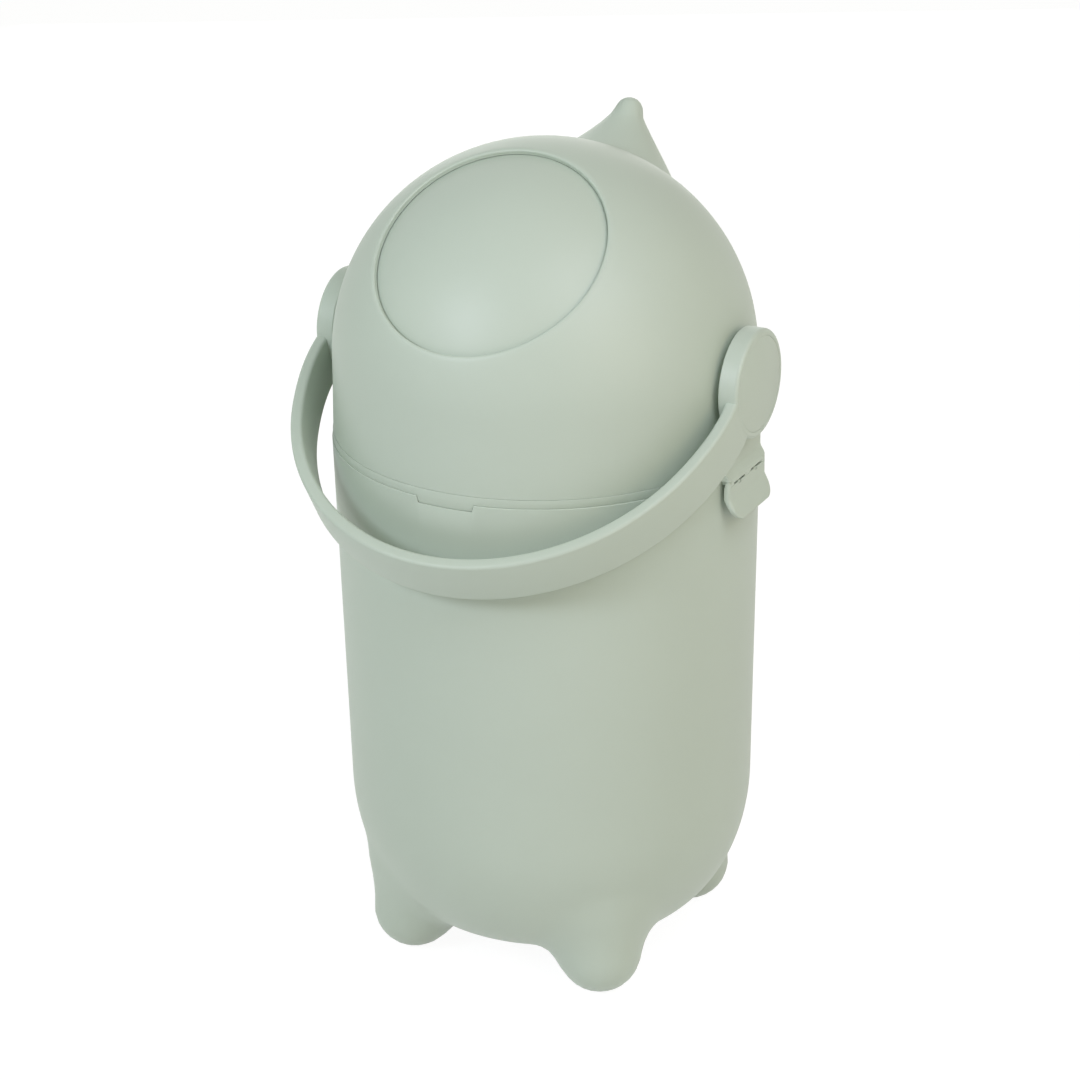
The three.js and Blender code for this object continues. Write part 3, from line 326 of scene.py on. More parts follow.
def swept(mesh, centre, axis, sweep, steps):
    """The flat mesh, turned part of the way round an axis to a closed bar."""
    bmesh.ops.spin(
        mesh, geom=whole_of(mesh), cent=centre, axis=axis, dvec=(0, 0, 0), angle=sweep,
        steps=steps, use_merge=False)
    return mesh


def lathed(outline, steps, closed=False):
    """A new mesh: (radius, height) pairs spun round Z, with what meets merged."""
    mesh = bmesh.new()
    corners = [mesh.verts.new((radius, 0, height)) for radius, height in outline]
    edges = [mesh.edges.new(pair) for pair in zip(corners, corners[1:])]
    if closed:
        edges.append(mesh.edges.new((corners[-1], corners[0])))
    bmesh.ops.spin(
        mesh, geom=corners + edges, cent=(0, 0, 0), axis=(0, 0, 1), dvec=(0, 0, 0),
        angle=2 * pi, steps=steps, use_merge=True)
    bmesh.ops.remove_doubles(mesh, verts=mesh.verts, dist=SAME)
    return mesh


def placed(mesh, matrix):
    """The mesh, moved by a matrix."""
    bmesh.ops.transform(mesh, matrix=matrix, verts=mesh.verts)
    return mesh


def mesh_side(mesh, side):
    """The mesh for the right, or mirrored for the left."""
    return mesh if side > 0 else placed(mesh, Matrix.Scale(-1, 4, (1, 0, 0)))


def joined(*meshes):
    """One mesh with the shells of several in it, and their faces turned out."""
    whole = meshes[0]
    for mesh in meshes[1:]:
        data = bpy.data.meshes.new("part")
        mesh.to_mesh(data)
        mesh.free()
        whole.from_mesh(data)
        bpy.data.meshes.remove(data)
    bmesh.ops.recalc_face_normals(whole, faces=whole.faces)
    return whole


def as_object(name, mesh):
    """An object in the scene that holds the mesh."""
    data = bpy.data.meshes.new(name)
    mesh.to_mesh(data)
    mesh.free()
    piece = bpy.data.objects.new(name, data)
    bpy.context.scene.collection.objects.link(piece)
    return piece


def baked(piece):
    """The object's mesh with its modifiers done, as a mesh to go on with."""
    graph = bpy.context.evaluated_depsgraph_get()
    mesh = bmesh.new()
    mesh.from_object(piece, graph)
    bpy.data.objects.remove(piece)
    return mesh


def tidied(mesh):
    """The mesh without doubles and without faces too thin to have a size."""
    bmesh.ops.remove_doubles(mesh, verts=mesh.verts, dist=HAIR)
    bmesh.ops.dissolve_degenerate(mesh, dist=HAIR, edges=mesh.edges)
    return mesh


def combined(operation, mesh, *tools):
    """The closed mesh, joined to closed tools or cut by them with the exact solver."""
    for tool in tools:
        for each in (mesh, tool):
            bmesh.ops.recalc_face_normals(each, faces=each.faces)
        whole = as_object("whole", mesh)
        other = as_object("tool", tool)
        modifier = whole.modifiers.new("combine", "BOOLEAN")
        modifier.operation = operation
        modifier.solver = "EXACT"
        modifier.object = other
        mesh = tidied(baked(whole))
        bpy.data.objects.remove(other)
    return mesh


def cut(mesh, *tools):
    """The mesh without what lies in the tools."""
    return combined("DIFFERENCE", mesh, *tools)


def united(mesh, *tools):
    """The mesh and the tools as one skin."""
    return combined("UNION", mesh, *tools)


def shared(mesh, tool):
    """What lies in both meshes."""
    return combined("INTERSECT", mesh, tool)


def rounded(mesh, items, width, segments, affect="EDGES"):
    """The mesh with some of its edges, or of a flat mesh's corners, rounded."""
    bmesh.ops.bevel(
        mesh, geom=items, offset=width, offset_type="OFFSET", segments=segments,
        profile=0.5, affect=affect, clamp_overlap=True, material=-1)
    return mesh


def sharp_edges(mesh, degrees):
    """The edges whose faces meet at more than an angle."""
    return [edge for edge in mesh.edges
            if edge.is_manifold and edge.calc_face_angle(0) > radians(degrees)]


def softened(mesh, width=SMALL_EDGE, segments=2):
    """The mesh with its sharp edges rounded."""
    return rounded(mesh, sharp_edges(mesh, 40), width, segments)


def drum(radius, low, high, steps, edge=0.0):
    """A closed round bar along Z, with its edges rounded if edge is given."""
    mesh = bmesh.new()
    bmesh.ops.create_cone(
        mesh, cap_ends=True, segments=steps, radius1=radius, radius2=radius,
        depth=high - low, matrix=Matrix.Translation((0, 0, (low + high) / 2)))
    return softened(mesh, edge) if edge else mesh


def along_x(mesh):
    """The mesh, laid so that its Z runs along X."""
    return placed(mesh, Matrix.Rotation(QUARTER, 4, "Y"))


def bar(pin, radius, low, high, steps, edge=0.0):
    """A round bar along Y, round a pin."""
    lying = placed(drum(radius, low, high, steps, edge), Matrix.Rotation(-QUARTER, 4, "X"))
    return placed(lying, Matrix.Translation(pin))


def peg(radius, low, high, turn, edge=0.0):
    """A stop peg on the right, or an end of its slot, at a turn about the hubs."""
    place = (0, -PEG_REACH * cos(turn), PEG_REACH * sin(turn))
    return placed(
        along_x(drum(radius, low, high, PIN_STEPS, edge)), Matrix.Translation(place))


def facing(elevation):
    """Turns Z forward until it points that high above level."""
    return Matrix.Rotation(QUARTER - elevation, 4, "X")


def arc(centre, radius, start, end, steps):
    """Points on part of a circle, as (across, up) pairs."""
    turns = (start + (end - start) * i / steps for i in range(steps + 1))
    return [(centre[0] + radius * cos(turn), centre[1] + radius * sin(turn))
            for turn in turns]


def ball_point(radius, turn):
    """A point of a ball's section at a turn from its top, as (across, up)."""
    return radius * sin(turn), radius * cos(turn)


def ball_arc(radius, start, end, steps):
    """Part of a ball's section."""
    return [ball_point(radius, start + (end - start) * i / steps) for i in range(steps + 1)]


def clamped(value):
    """The value, kept between nought and one."""
    return max(0.0, min(1.0, value))


def smooth_step(value, low, high):
    """A soft rise from nought at low to one at high."""
    share = clamped((value - low) / (high - low))
    return share * share * (3 - 2 * share)


def smooth_min(first, second, blend):
    """The smaller of two distances, with a soft change from one to the other."""
    share = clamped((1 + (second - first) / blend) / 2)
    return second + (first - second) * share - blend * share * (1 - share)


def draw_to_skin(verts, centre, distance, radius, wall, nearest):
    """Moves a round shell's corners along their rays until they lie on a skin."""
    farthest, halvings = 0.25, 24
    for vertex in verts:
        away = vertex.co - centre
        inset = 0 if away.length > radius - wall / 2 else wall
        direction = away.normalized()
        low, high = nearest, farthest
        for _ in range(halvings):
            middle = (low + high) / 2
            if distance(centre + direction * middle) + inset < 0:
                low = middle
            else:
                high = middle
        vertex.co = centre + direction * low


def dress(name, mesh, matrix, body, node, slot="sage_plastic"):
    """Makes the finished piece: smooth, in place, on its body and with its finish, and hides its
    CAD node.
    """
    piece = as_object(name, placed(joined(mesh), matrix))
    piece.data.shade_smooth()
    piece.data.set_sharp_from_angle(angle=radians(35))
    piece.data.materials.append(finish_of(slot))
    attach(piece, body)
    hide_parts(node)


# Bucket


def bucket_radius(height):
    """Outside of the bucket's straight wall at a height."""
    return sizes().rim_radius - WALL_TAPER * (sizes().rim_height - height)


def belly_top():
    """Height where the belly's rounded corner runs into the straight wall."""
    return sizes().belly_height + sizes().corner_rise


def bucket_skin(point):
    """How far a point lies outside the belly and the four feet."""
    size = sizes()
    radius = hypot(point.x, point.y)
    across = max((radius - bucket_radius(point.z)) / size.corner_reach + 1, 0)
    down = max((belly_top() - point.z) / size.corner_rise, 0)
    belly = (hypot(across, down) - 1) * min(size.corner_reach, size.corner_rise)
    here = Vector((
        (abs(point.x) + abs(point.y)) / sqrt(2),
        (abs(point.x) - abs(point.y)) / sqrt(2),
        point.z))
    ball = Vector((size.rim_radius - size.foot_inset, 0, size.foot_radius - size.foot_sunk))
    thigh = Vector((size.rim_radius - size.thigh_inset, 0, size.thigh_height))
    leg = thigh - ball
    share = clamped((here - ball).dot(leg) / leg.length_squared)
    radius_here = size.foot_radius + (size.thigh_radius - size.foot_radius) * share
    foot = (here - ball - leg * share).length - radius_here
    return smooth_min(belly, foot, size.foot_blend)


def ring_base():
    """Height of the lid ring's underside."""
    return sizes().rim_height + sizes().fit_gap


def tab_outline(clearance):
    """The front tab with room round it, as (x, z) pairs."""
    size = sizes()
    base = ring_base()
    half = size.tab_width / 2 + clearance
    low = base - size.tab_drop - clearance
    return [(-half, base + size.band_height), (-half, base), (-half + TAB_SLANT, low),
            (half - TAB_SLANT, low), (half, base), (half, base + size.band_height)]


def hinge_knuckle(low, high):
    """A round knuckle of the lid's hinge on the left."""
    return bar(HINGE_PIN, 0.003, low, high, PIN_STEPS, SMALL_EDGE)


class NAPPYBIN_OT_bucket(bpy.types.Operator):
    """Model the bucket with its belly, feet, ledge, notch, hinge ears and catch"""

    bl_idname = "nappy_bin.bucket"
    bl_label = "Bucket"

    def tub(self, size):
        """The tub with its ledge, and the feet drawn out of its round bottom."""
        wall, top, low = size.bucket_wall, size.rim_height, belly_top()
        outside = bucket_radius(low)
        belly_steps, wall_steps = 46, 10
        ledge_top = top - LEDGE_DROP
        ledge_in = bucket_radius(ledge_top) - wall - 0.003
        ledge_foot = ledge_top - 0.005
        edge = 0.0005
        outer = arc((0, low), outside, -QUARTER, 0, belly_steps)
        inner = arc((0, low), outside - wall, 0, -QUARTER, belly_steps)
        heights = [low + (top - edge - low) * (i + 1) / wall_steps for i in range(wall_steps)]
        mesh = lathed([
            (0, low - outside), *outer[1:],
            *((bucket_radius(height), height) for height in heights),
            *arc((size.rim_radius - edge, top - edge), edge, 0, QUARTER, 4)[1:],
            *arc((size.rim_radius - wall + edge, top - edge), edge, QUARTER, pi, 4),
            (bucket_radius(ledge_top) - wall, ledge_top),
            (ledge_in, ledge_top),
            (ledge_in, ledge_top - 0.002),
            (bucket_radius(ledge_foot) - wall, ledge_foot),
            *((bucket_radius(height) - wall, height)
              for height in reversed(heights) if height < ledge_foot),
            *inner[:-1], (0, low - outside + wall)], ROUND_STEPS)
        bottom = [vertex for vertex in mesh.verts if vertex.co.z <= low - NEAR]
        draw_to_skin(bottom, Vector((0, 0, low)), bucket_skin, outside, wall, nearest=0.03)
        for vertex in bottom:
            vertex.co.z = max(vertex.co.z, 0)
        return mesh

    def notched(self, size, mesh):
        """The tub with the notch for the front tab, and the notch's lip rounded."""
        notch = slab(tab_outline(size.fit_gap), -size.rim_radius - 0.002, -size.rim_radius / 2)
        mesh = cut(mesh, notch)
        low = ring_base() - size.tab_drop - size.fit_gap - NEAR
        high = size.rim_height - 0.0002
        half = size.tab_width / 2 + 0.001
        skin = size.rim_radius - 0.0006

        def on_lip(point):
            return (low < point.z < high and point.y < 0 and abs(point.x) < half
                    and hypot(point.x, point.y) > skin)

        lip = [edge for edge in sharp_edges(mesh, 50) if all(on_lip(v.co) for v in edge.verts)]
        return tidied(rounded(mesh, lip, 0.0004, segments=2))

    def execute(self, context):
        size = sizes()
        x, _, z = HINGE_PIN
        root = -size.rim_radius + size.bucket_wall * 0.7
        web = [(root, z), (x, z), (x - 0.0015, z - 0.0024), (root, z - 0.009)]
        ears = []
        for span in both(0.0083, 0.018):
            ears += [softened(slab(web, *span)), hinge_knuckle(*span)]
        base = CLIP_PIN.z - CATCH_DROP
        out = bucket_radius(base)
        root, face = out - size.bucket_wall * 0.8, out + 0.0016
        catch = slab(
            [(root, base), (face, base), (face, base + 0.002), (root, base + 0.0036)],
            -CATCH_HALF, CATCH_HALF)
        mesh = joined(self.notched(size, self.tub(size)), *ears, softened(catch))
        dress("Bucket", mesh, TO_AXIS, "bucket_body", "bucket")
        return {"FINISHED"}


class NAPPYBIN_OT_bag_ring(bpy.types.Operator):
    """Model the ring that holds the bag in the bucket"""

    bl_idname = "nappy_bin.bag_ring"
    bl_label = "Bag ring"

    def execute(self, context):
        size = sizes()
        base = size.rim_height - LEDGE_DROP + size.fit_gap
        top = base + 0.012
        out = bucket_radius(base) - size.bucket_wall - 0.0006
        thick = 0.0022
        inner = out - thick - 0.006
        mesh = lathed([
            (out, base), (out, top), (out - thick, top), (out - thick, base + thick),
            (inner, base + thick), (inner, base)], ROUND_STEPS, closed=True)
        dress("Bag_ring", softened(mesh, 0.0005), TO_AXIS, "bucket_body", "bag_ring",
              slot="pale_plastic")
        return {"FINISHED"}


# Lid


class NAPPYBIN_OT_lid_ring(bpy.types.Operator):
    """Model the lid's ring with its front tab, clip bracket and hinge ear"""

    bl_idname = "nappy_bin.lid_ring"
    bl_label = "Lid ring"

    def band(self, size):
        """The thin outer band, whose lower edge is drawn down into the front tab."""
        radius = size.rim_radius + size.band_proud
        base = size.rim_height + size.fit_gap / 2
        half = size.tab_width / 2
        mesh = lathed([(radius, base), (radius, ring_base() + size.band_height)], ROUND_STEPS)
        for side in (-1, 1):
            front = [face for face in mesh.faces if face.calc_center_median().y < 0]
            touched = dict.fromkeys(
                item for face in front for item in (*face.edges, *face.verts))
            bmesh.ops.bisect_plane(
                mesh, geom=front + list(touched), dist=SAME,
                plane_co=(side * half, 0, 0), plane_no=(1, 0, 0))
        rim = [edge for edge in mesh.edges
               if all(abs(v.co.z - base) < SAME and v.co.y < 0 and abs(v.co.x) < half + NEAR
                      for v in edge.verts)]
        grown = bmesh.ops.extrude_edge_only(mesh, edges=rim)["geom"]
        for vertex in verts_of(grown):
            vertex.co.z = ring_base() - size.tab_drop
            vertex.co.x *= (half - TAB_SLANT) / half
            vertex.co.y = -sqrt(radius ** 2 - vertex.co.x ** 2)
        bmesh.ops.recalc_face_normals(mesh, faces=mesh.faces)
        piece = as_object("band", mesh)
        wall = piece.modifiers.new("wall", "SOLIDIFY")
        wall.thickness = 0.0013
        wall.offset = -1
        wall.use_even_offset = True
        return softened(baked(piece), 0.0002, segments=3)

    def core(self, size):
        """The hidden floor, lip and spigot behind the band."""
        groove = ring_base() + 0.0017
        top = ring_base() + size.band_height
        flush, lip_top, floor = top - SUNK, top + 0.0024, top - 0.003
        back = size.rim_radius + size.band_proud - 0.0012
        lip = size.dome_radius - size.dome_wall - 0.0004
        lip_in, hole = lip - 0.002, lip - 0.0076
        spigot = size.rim_radius - size.bucket_wall - 0.0006
        spigot_in, spigot_low = spigot - 0.0016, size.rim_height - 0.012
        return lathed([
            (back, groove), (back, flush), (lip, flush), (lip, lip_top), (lip_in, lip_top),
            (lip_in, flush), (hole, flush), (hole, floor), (spigot_in, floor),
            (spigot_in, spigot_low), (spigot, spigot_low), (spigot, groove)],
            ROUND_STEPS, closed=True)

    def bracket(self, size):
        """The bracket on the right, whose lip is hollowed round the clip's pin."""
        x, _, z = CLIP_PIN
        rim, half, round_top = size.rim_height, size.clip_half_width, size.clip_depth / 2
        face = x + round_top
        lip = round_top + size.fit_gap
        base = z + lip
        inside = size.rim_radius - 0.007
        step = face - 0.0040
        top = rim + 0.0165
        block = slab([
            (inside, base), *arc((x, z), lip, pi / 2, pi / 4, 6),
            (face, z + lip * sin(pi / 4)), (face, rim - 0.0040),
            (step, rim + 0.0020), (step, rim + 0.0153), (step - 0.0012, top), (inside, top),
        ], -half, half)
        long_edges = [
            edge for edge in block.edges
            if all(v.co.x > step - NEAR and v.co.z > rim - 0.0045 for v in edge.verts)
            and edge.calc_length() > half]
        block = shared(rounded(block, long_edges, 0.0013, segments=4), clip_plan())
        bucket_room = size.rim_radius + size.fit_gap
        dome_room = size.dome_radius + 0.0015
        ring_top = ring_base() + size.band_height
        low, high = 0.3, 0.4
        clear = lathed([
            (0, low), (bucket_room, low), (bucket_room, ring_base()),
            (size.rim_radius, ring_base()), (size.rim_radius, ring_top),
            (dome_room, ring_top), (dome_room, high), (0, high)], ROUND_STEPS)
        block = cut(block, clear, *clip_slots(z, base + 0.0006), *lug_rooms())
        ears = []
        web = box(x - round_top, x + 0.0006, z, base + 0.0010)
        for span in both(size.ear_place - 0.0015, size.ear_place + 0.0015):
            knuckle = bar(CLIP_PIN, round_top - 0.0004, *span, steps=32, edge=0.0002)
            ears += [knuckle, slab(web, *span)]
        return joined(block, *ears)

    def hinge_ear(self, size):
        """The ear on the left that turns between the bucket's ears."""
        x, _, z = HINGE_PIN
        inside = -size.rim_radius
        low = size.rim_height + 2 * size.fit_gap
        top = z + 0.0065
        reach, half = 0.00255, 0.008
        web = slab([
            (x - reach, z), (x - reach, z + reach), (x, top), (inside, top), (inside, low),
            (inside - 0.0007, low), (x + reach, z)], -half, half)
        return joined(softened(web), hinge_knuckle(-half, half))

    def execute(self, context):
        size = sizes()
        mesh = joined(self.band(size), self.core(size), self.bracket(size), self.hinge_ear(size))
        dress("Lid_ring", mesh, TO_AXIS, "lid", "lid_ring")
        return {"FINISHED"}


def clip_plan(inset=0.0):
    """The clip and its bracket seen from above, with round front corners."""
    size = sizes()
    half, edge = size.clip_half_width - inset, size.clip_edge
    middle = CLIP_PIN.x + size.clip_depth / 2 - edge
    low, high = 0.33, 0.4
    outline = [
        (CLIP_INSIDE, -half), *arc((middle, -half + edge), edge, -QUARTER, 0, 6),
        *arc((middle, half - edge), edge, 0, QUARTER, 6), (CLIP_INSIDE, half)]
    return placed(slab(outline, -high, -low), Matrix.Rotation(-QUARTER, 4, "X"))


def clip_slots(low, high):
    """Two blocks that open the slots between the clip and its bracket."""
    outline = box(CLIP_PIN.x - 0.0022, CLIP_PIN.x + 0.01, low, high)
    return [slab(outline, *span) for span in both(0.0045, 0.0215)]


def lug_rooms():
    """Two blocks that cut the bracket back for the clip's lugs."""
    inner = sizes().clip_half_width - LUG_WIDTH - 0.0001
    outline = box(CLIP_INSIDE, 0.16, 0.35, CLIP_PIN.z + LUG_REACH + 0.0002)
    return [slab(outline, *span) for span in both(inner, 0.05)]


def backwards(elevation):
    """The direction from the ball's centre to the back, that high above level."""
    return Vector((0, cos(elevation), sin(elevation)))


def dome_skin(point):
    """How far a point lies outside the dome's sphere and its horn."""
    size = sizes()
    reach = point.length
    tip_reach = size.dome_radius + size.horn_height - size.horn_tip_radius
    root, tip = radians(36.8), radians(45)
    taper = 1.2
    if reach > tip_reach:
        horn = (point - backwards(tip) * tip_reach).length - size.horn_tip_radius
    else:
        share = clamped((reach - size.dome_radius) / (tip_reach - size.dome_radius))
        middle = backwards(root + (tip - root) * share)
        spread = size.horn_root_radius - size.horn_tip_radius
        radius = size.horn_tip_radius + spread * (1 - share) ** taper
        lean = hypot(1, spread / (size.horn_height - size.horn_tip_radius))
        horn = (reach * point.angle(middle) - radius) / lean
    return smooth_min(reach - size.dome_radius, horn, size.horn_blend)


class NAPPYBIN_OT_dome(bpy.types.Operator):
    """Model the dome with its horn, its opening and the pads that the hubs turn on"""

    bl_idname = "nappy_bin.dome"
    bl_label = "Dome"

    def outline(self, size):
        """Outer skin, soft edge of the opening and inner skin, seen along the opening."""
        radius, inner = size.dome_radius, size.dome_radius - size.dome_wall
        edge = size.opening_radius + size.opening_edge
        height = sqrt(radius ** 2 - edge ** 2)
        corner = height + size.opening_edge * edge / height
        soft = []
        soft_steps = 10
        for step in range(soft_steps + 1):
            share = step / soft_steps
            across = size.opening_radius + size.opening_edge * (1 - share) ** 2
            up = height + 2 * share * (1 - share) * (corner - height)
            soft.append((across, up))
        last = radians(134)
        rows = 64
        outer = ball_arc(radius, last, asin(edge / radius), rows)[:-1]
        start = asin(size.opening_radius / inner)
        lip_rows, lip_reach = 3, 0.0008
        within = []
        for step in range(rows + 1):
            turn = start + (last - start) * step / rows
            reach = inner - lip_reach * (1 - smooth_step(step, 0, lip_rows))
            within.append(ball_point(reach, turn))
        return outer + soft + within

    def shell(self, size):
        """The domed shell down to the equator, with the horn drawn out of it."""
        mesh = placed(lathed(self.outline(size), ROUND_STEPS), facing(size.opening_tilt))
        bmesh.ops.bisect_plane(
            mesh, geom=whole_of(mesh), dist=NEAR, plane_co=(0, 0, 0), plane_no=(0, 0, 1),
            clear_inner=True)
        horn = backwards(radians(43))
        fine_within, drawn_within = radians(27), radians(34)
        near = [face for face in mesh.faces
                if face.calc_center_median().angle(horn) < fine_within]
        edges = list(dict.fromkeys(edge for face in near for edge in face.edges))
        bmesh.ops.subdivide_edges(mesh, edges=edges, cuts=3, use_grid_fill=True)
        drawn = [vertex for vertex in mesh.verts if vertex.co.angle(horn) <= drawn_within]
        draw_to_skin(
            drawn, Vector(), dome_skin, size.dome_radius, size.dome_wall, nearest=0.1)
        return mesh

    def skirt(self, size, mesh):
        """The upright wall below the equator, with its slight flare."""
        inside = size.dome_radius - size.dome_wall
        between = size.dome_radius - size.dome_wall / 2
        foot = -0.0493
        edges = [edge for edge in mesh.edges if edge.is_boundary]
        for level, flare in (
                (-0.012, 0.0001), (-size.hub_radius, 0.0007), (foot * 0.85, 0.0009),
                (foot, 0.0010)):
            grown = bmesh.ops.extrude_edge_only(mesh, edges=edges)["geom"]
            edges = [item for item in grown if isinstance(item, bmesh.types.BMEdge)]
            for vertex in verts_of(grown):
                vertex.co.z = level
                flat = hypot(vertex.co.x, vertex.co.y)
                wanted = inside if flat < between else size.dome_radius + flare
                vertex.co.x *= wanted / flat
                vertex.co.y *= wanted / flat
        bmesh.ops.bridge_loops(mesh, edges=edges)
        bmesh.ops.remove_doubles(mesh, verts=mesh.verts, dist=SUNK)
        return mesh

    def bore(self):
        """The room for the bush on the right."""
        return along_x(drum(0.0113, 0.10, 0.15, BORE_STEPS))

    def bowl(self, size):
        """A closed ball that hollows the pads to the dome's curve."""
        radius = size.dome_radius - size.dome_wall / 2
        return lathed(
            [(0, -radius), *arc((0, 0), radius, -QUARTER, QUARTER, 48)[1:-1], (0, radius)],
            ROUND_STEPS)

    def execute(self, context):
        size = sizes()
        mesh = self.skirt(size, self.shell(size))
        face = size.dome_radius + 0.0003
        inside = size.dome_radius - size.dome_wall
        turn = pi - size.handle_droop
        pads = []
        for side in (1, -1):
            pad = along_x(drum(
                size.pad_radius, inside - 0.004, face, steps=96, edge=SMALL_EDGE))
            pad = cut(pad, self.bowl(size), self.bore())
            stop = peg(0.003, inside, face + 0.004, turn, SMALL_EDGE)
            pads += [mesh_side(pad, side), mesh_side(stop, side)]
            mesh = cut(mesh, mesh_side(self.bore(), side))
        dress("Dome", joined(mesh, *pads), TO_BALL, "lid", "dome_shell")
        return {"FINISHED"}


class NAPPYBIN_OT_seals(bpy.types.Operator):
    """Model the soft rings round the opening and under the lid's band"""

    bl_idname = "nappy_bin.seals"
    bl_label = "Seals"

    def execute(self, context):
        size = sizes()
        inner = size.dome_radius - size.dome_wall
        middle = asin((size.opening_radius + 0.008) / inner)
        half = 0.0012
        spread = half / inner
        low, high = size.ball_radius + size.fit_gap, inner + half
        corners = ((low, -spread), (low, spread), (high, spread), (high, -spread))
        wiper = lathed([ball_point(radius, middle + turn) for radius, turn in corners],
                       ROUND_STEPS, closed=True)
        dress("Opening_seal", softened(wiper), TO_BALL @ facing(size.opening_tilt),
              "lid", "opening_seal", slot="seal_rubber")
        near = size.rim_radius - size.bucket_wall - 0.0003
        outline = box(near, near + 0.0016, ring_base(), ring_base() + 0.0014)
        gasket = softened(lathed(outline, ROUND_STEPS, closed=True), 0.0004)
        dress("Lid_gasket", gasket, TO_AXIS, "lid", "lid_gasket", slot="seal_rubber")
        return {"FINISHED"}


# Handle and ball


class NAPPYBIN_OT_handle(bpy.types.Operator):
    """Model the handle's strip and hubs in one piece, and the caps in the hubs"""

    bl_idname = "nappy_bin.handle"
    bl_label = "Handle"

    def strip(self, size):
        """The strip, swept round the front from one hub to the other."""
        forward, half, up = size.strip_forward, size.strip_thickness / 2, size.strip_width / 2
        inset = 0.0016
        start = 0.016
        radius = size.hub_face - inset - half
        root = asin((start - forward) / radius)
        mesh = sheet((radius + x, -forward, z) for x, z in (
            (half, up), (-half, up), (-half, -up), (half, -up)))
        rounded(mesh, mesh.verts[:], size.strip_edge, segments=5, affect="VERTICES")
        spindle = (0, -forward, 0)
        bmesh.ops.rotate(
            mesh, cent=spindle, matrix=Matrix.Rotation(-root, 3, "Z"), verts=mesh.verts)
        swept(mesh, spindle, (0, 0, -1), pi - 2 * root, HUB_STEPS)
        for vertex in mesh.verts:
            ease = 1 - smooth_step(
                -vertex.co.y, size.hub_radius, 2 * size.hub_radius + start)
            vertex.co.x += copysign(inset * ease, vertex.co.x)
        return mesh

    def hub(self, size):
        """The right-hand hub, without its hollows."""
        face, edge, back_edge = size.hub_face, size.hub_edge, 0.0006
        back = size.dome_radius + 0.0009
        return along_x(lathed([
            (0, back), (size.hub_radius - back_edge, back), (size.hub_radius, back + back_edge),
            *arc((size.hub_radius - edge, face - edge), edge, 0, QUARTER, 8), (0, face),
        ], HUB_STEPS))

    def hollows(self, size):
        """The hollows in the right-hand hub for cap, bush, journal and stop peg."""
        face = size.hub_face
        behind = 0.13
        tools = [
            along_x(drum(size.cap_radius + 0.0001, face - 0.0021, face + 0.002, HUB_STEPS)),
            along_x(drum(0.0143, behind, 0.1421, steps=64)),
            along_x(drum(JOURNAL_BORE, behind, face - 0.005, BORE_STEPS)),
        ]
        back, depth = 0.137, size.dome_radius + 0.0046
        near, far = PEG_REACH - SLOT_HALF, PEG_REACH + SLOT_HALF
        travel = radians(JOINTS["handle_turn"]["range_deg"][1])
        slot = sheet([(back, -near, 0), (back, -far, 0), (depth, -far, 0), (depth, -near, 0)])
        placed(slot, Matrix.Rotation(pi, 4, "X"))
        swept(slot, (0, 0, 0), (1, 0, 0), travel, steps=36)
        ends = [peg(SLOT_HALF, back, depth, turn) for turn in (pi, pi - travel)]
        return [*tools, slot, *ends]

    def execute(self, context):
        size = sizes()
        whole = self.strip(size)
        for side in (1, -1):
            whole = united(whole, mesh_side(self.hub(size), side))
        for side in (1, -1):
            whole = cut(whole, *(mesh_side(tool, side) for tool in self.hollows(size)))
        droop = TO_BALL @ Matrix.Rotation(size.handle_droop, 4, "X")
        dress("Handle", whole, droop, "handle_ball", "handle")
        face = size.hub_face
        for side, word in ((1, "right"), (-1, "left")):
            cap = along_x(drum(size.cap_radius, face - 0.0018, face, HUB_STEPS, edge=0.0002))
            dress(f"Hub_cap_{word}", mesh_side(cap, side), droop, "handle_ball",
                  f"hub_cap_{word}")
        return {"FINISHED"}


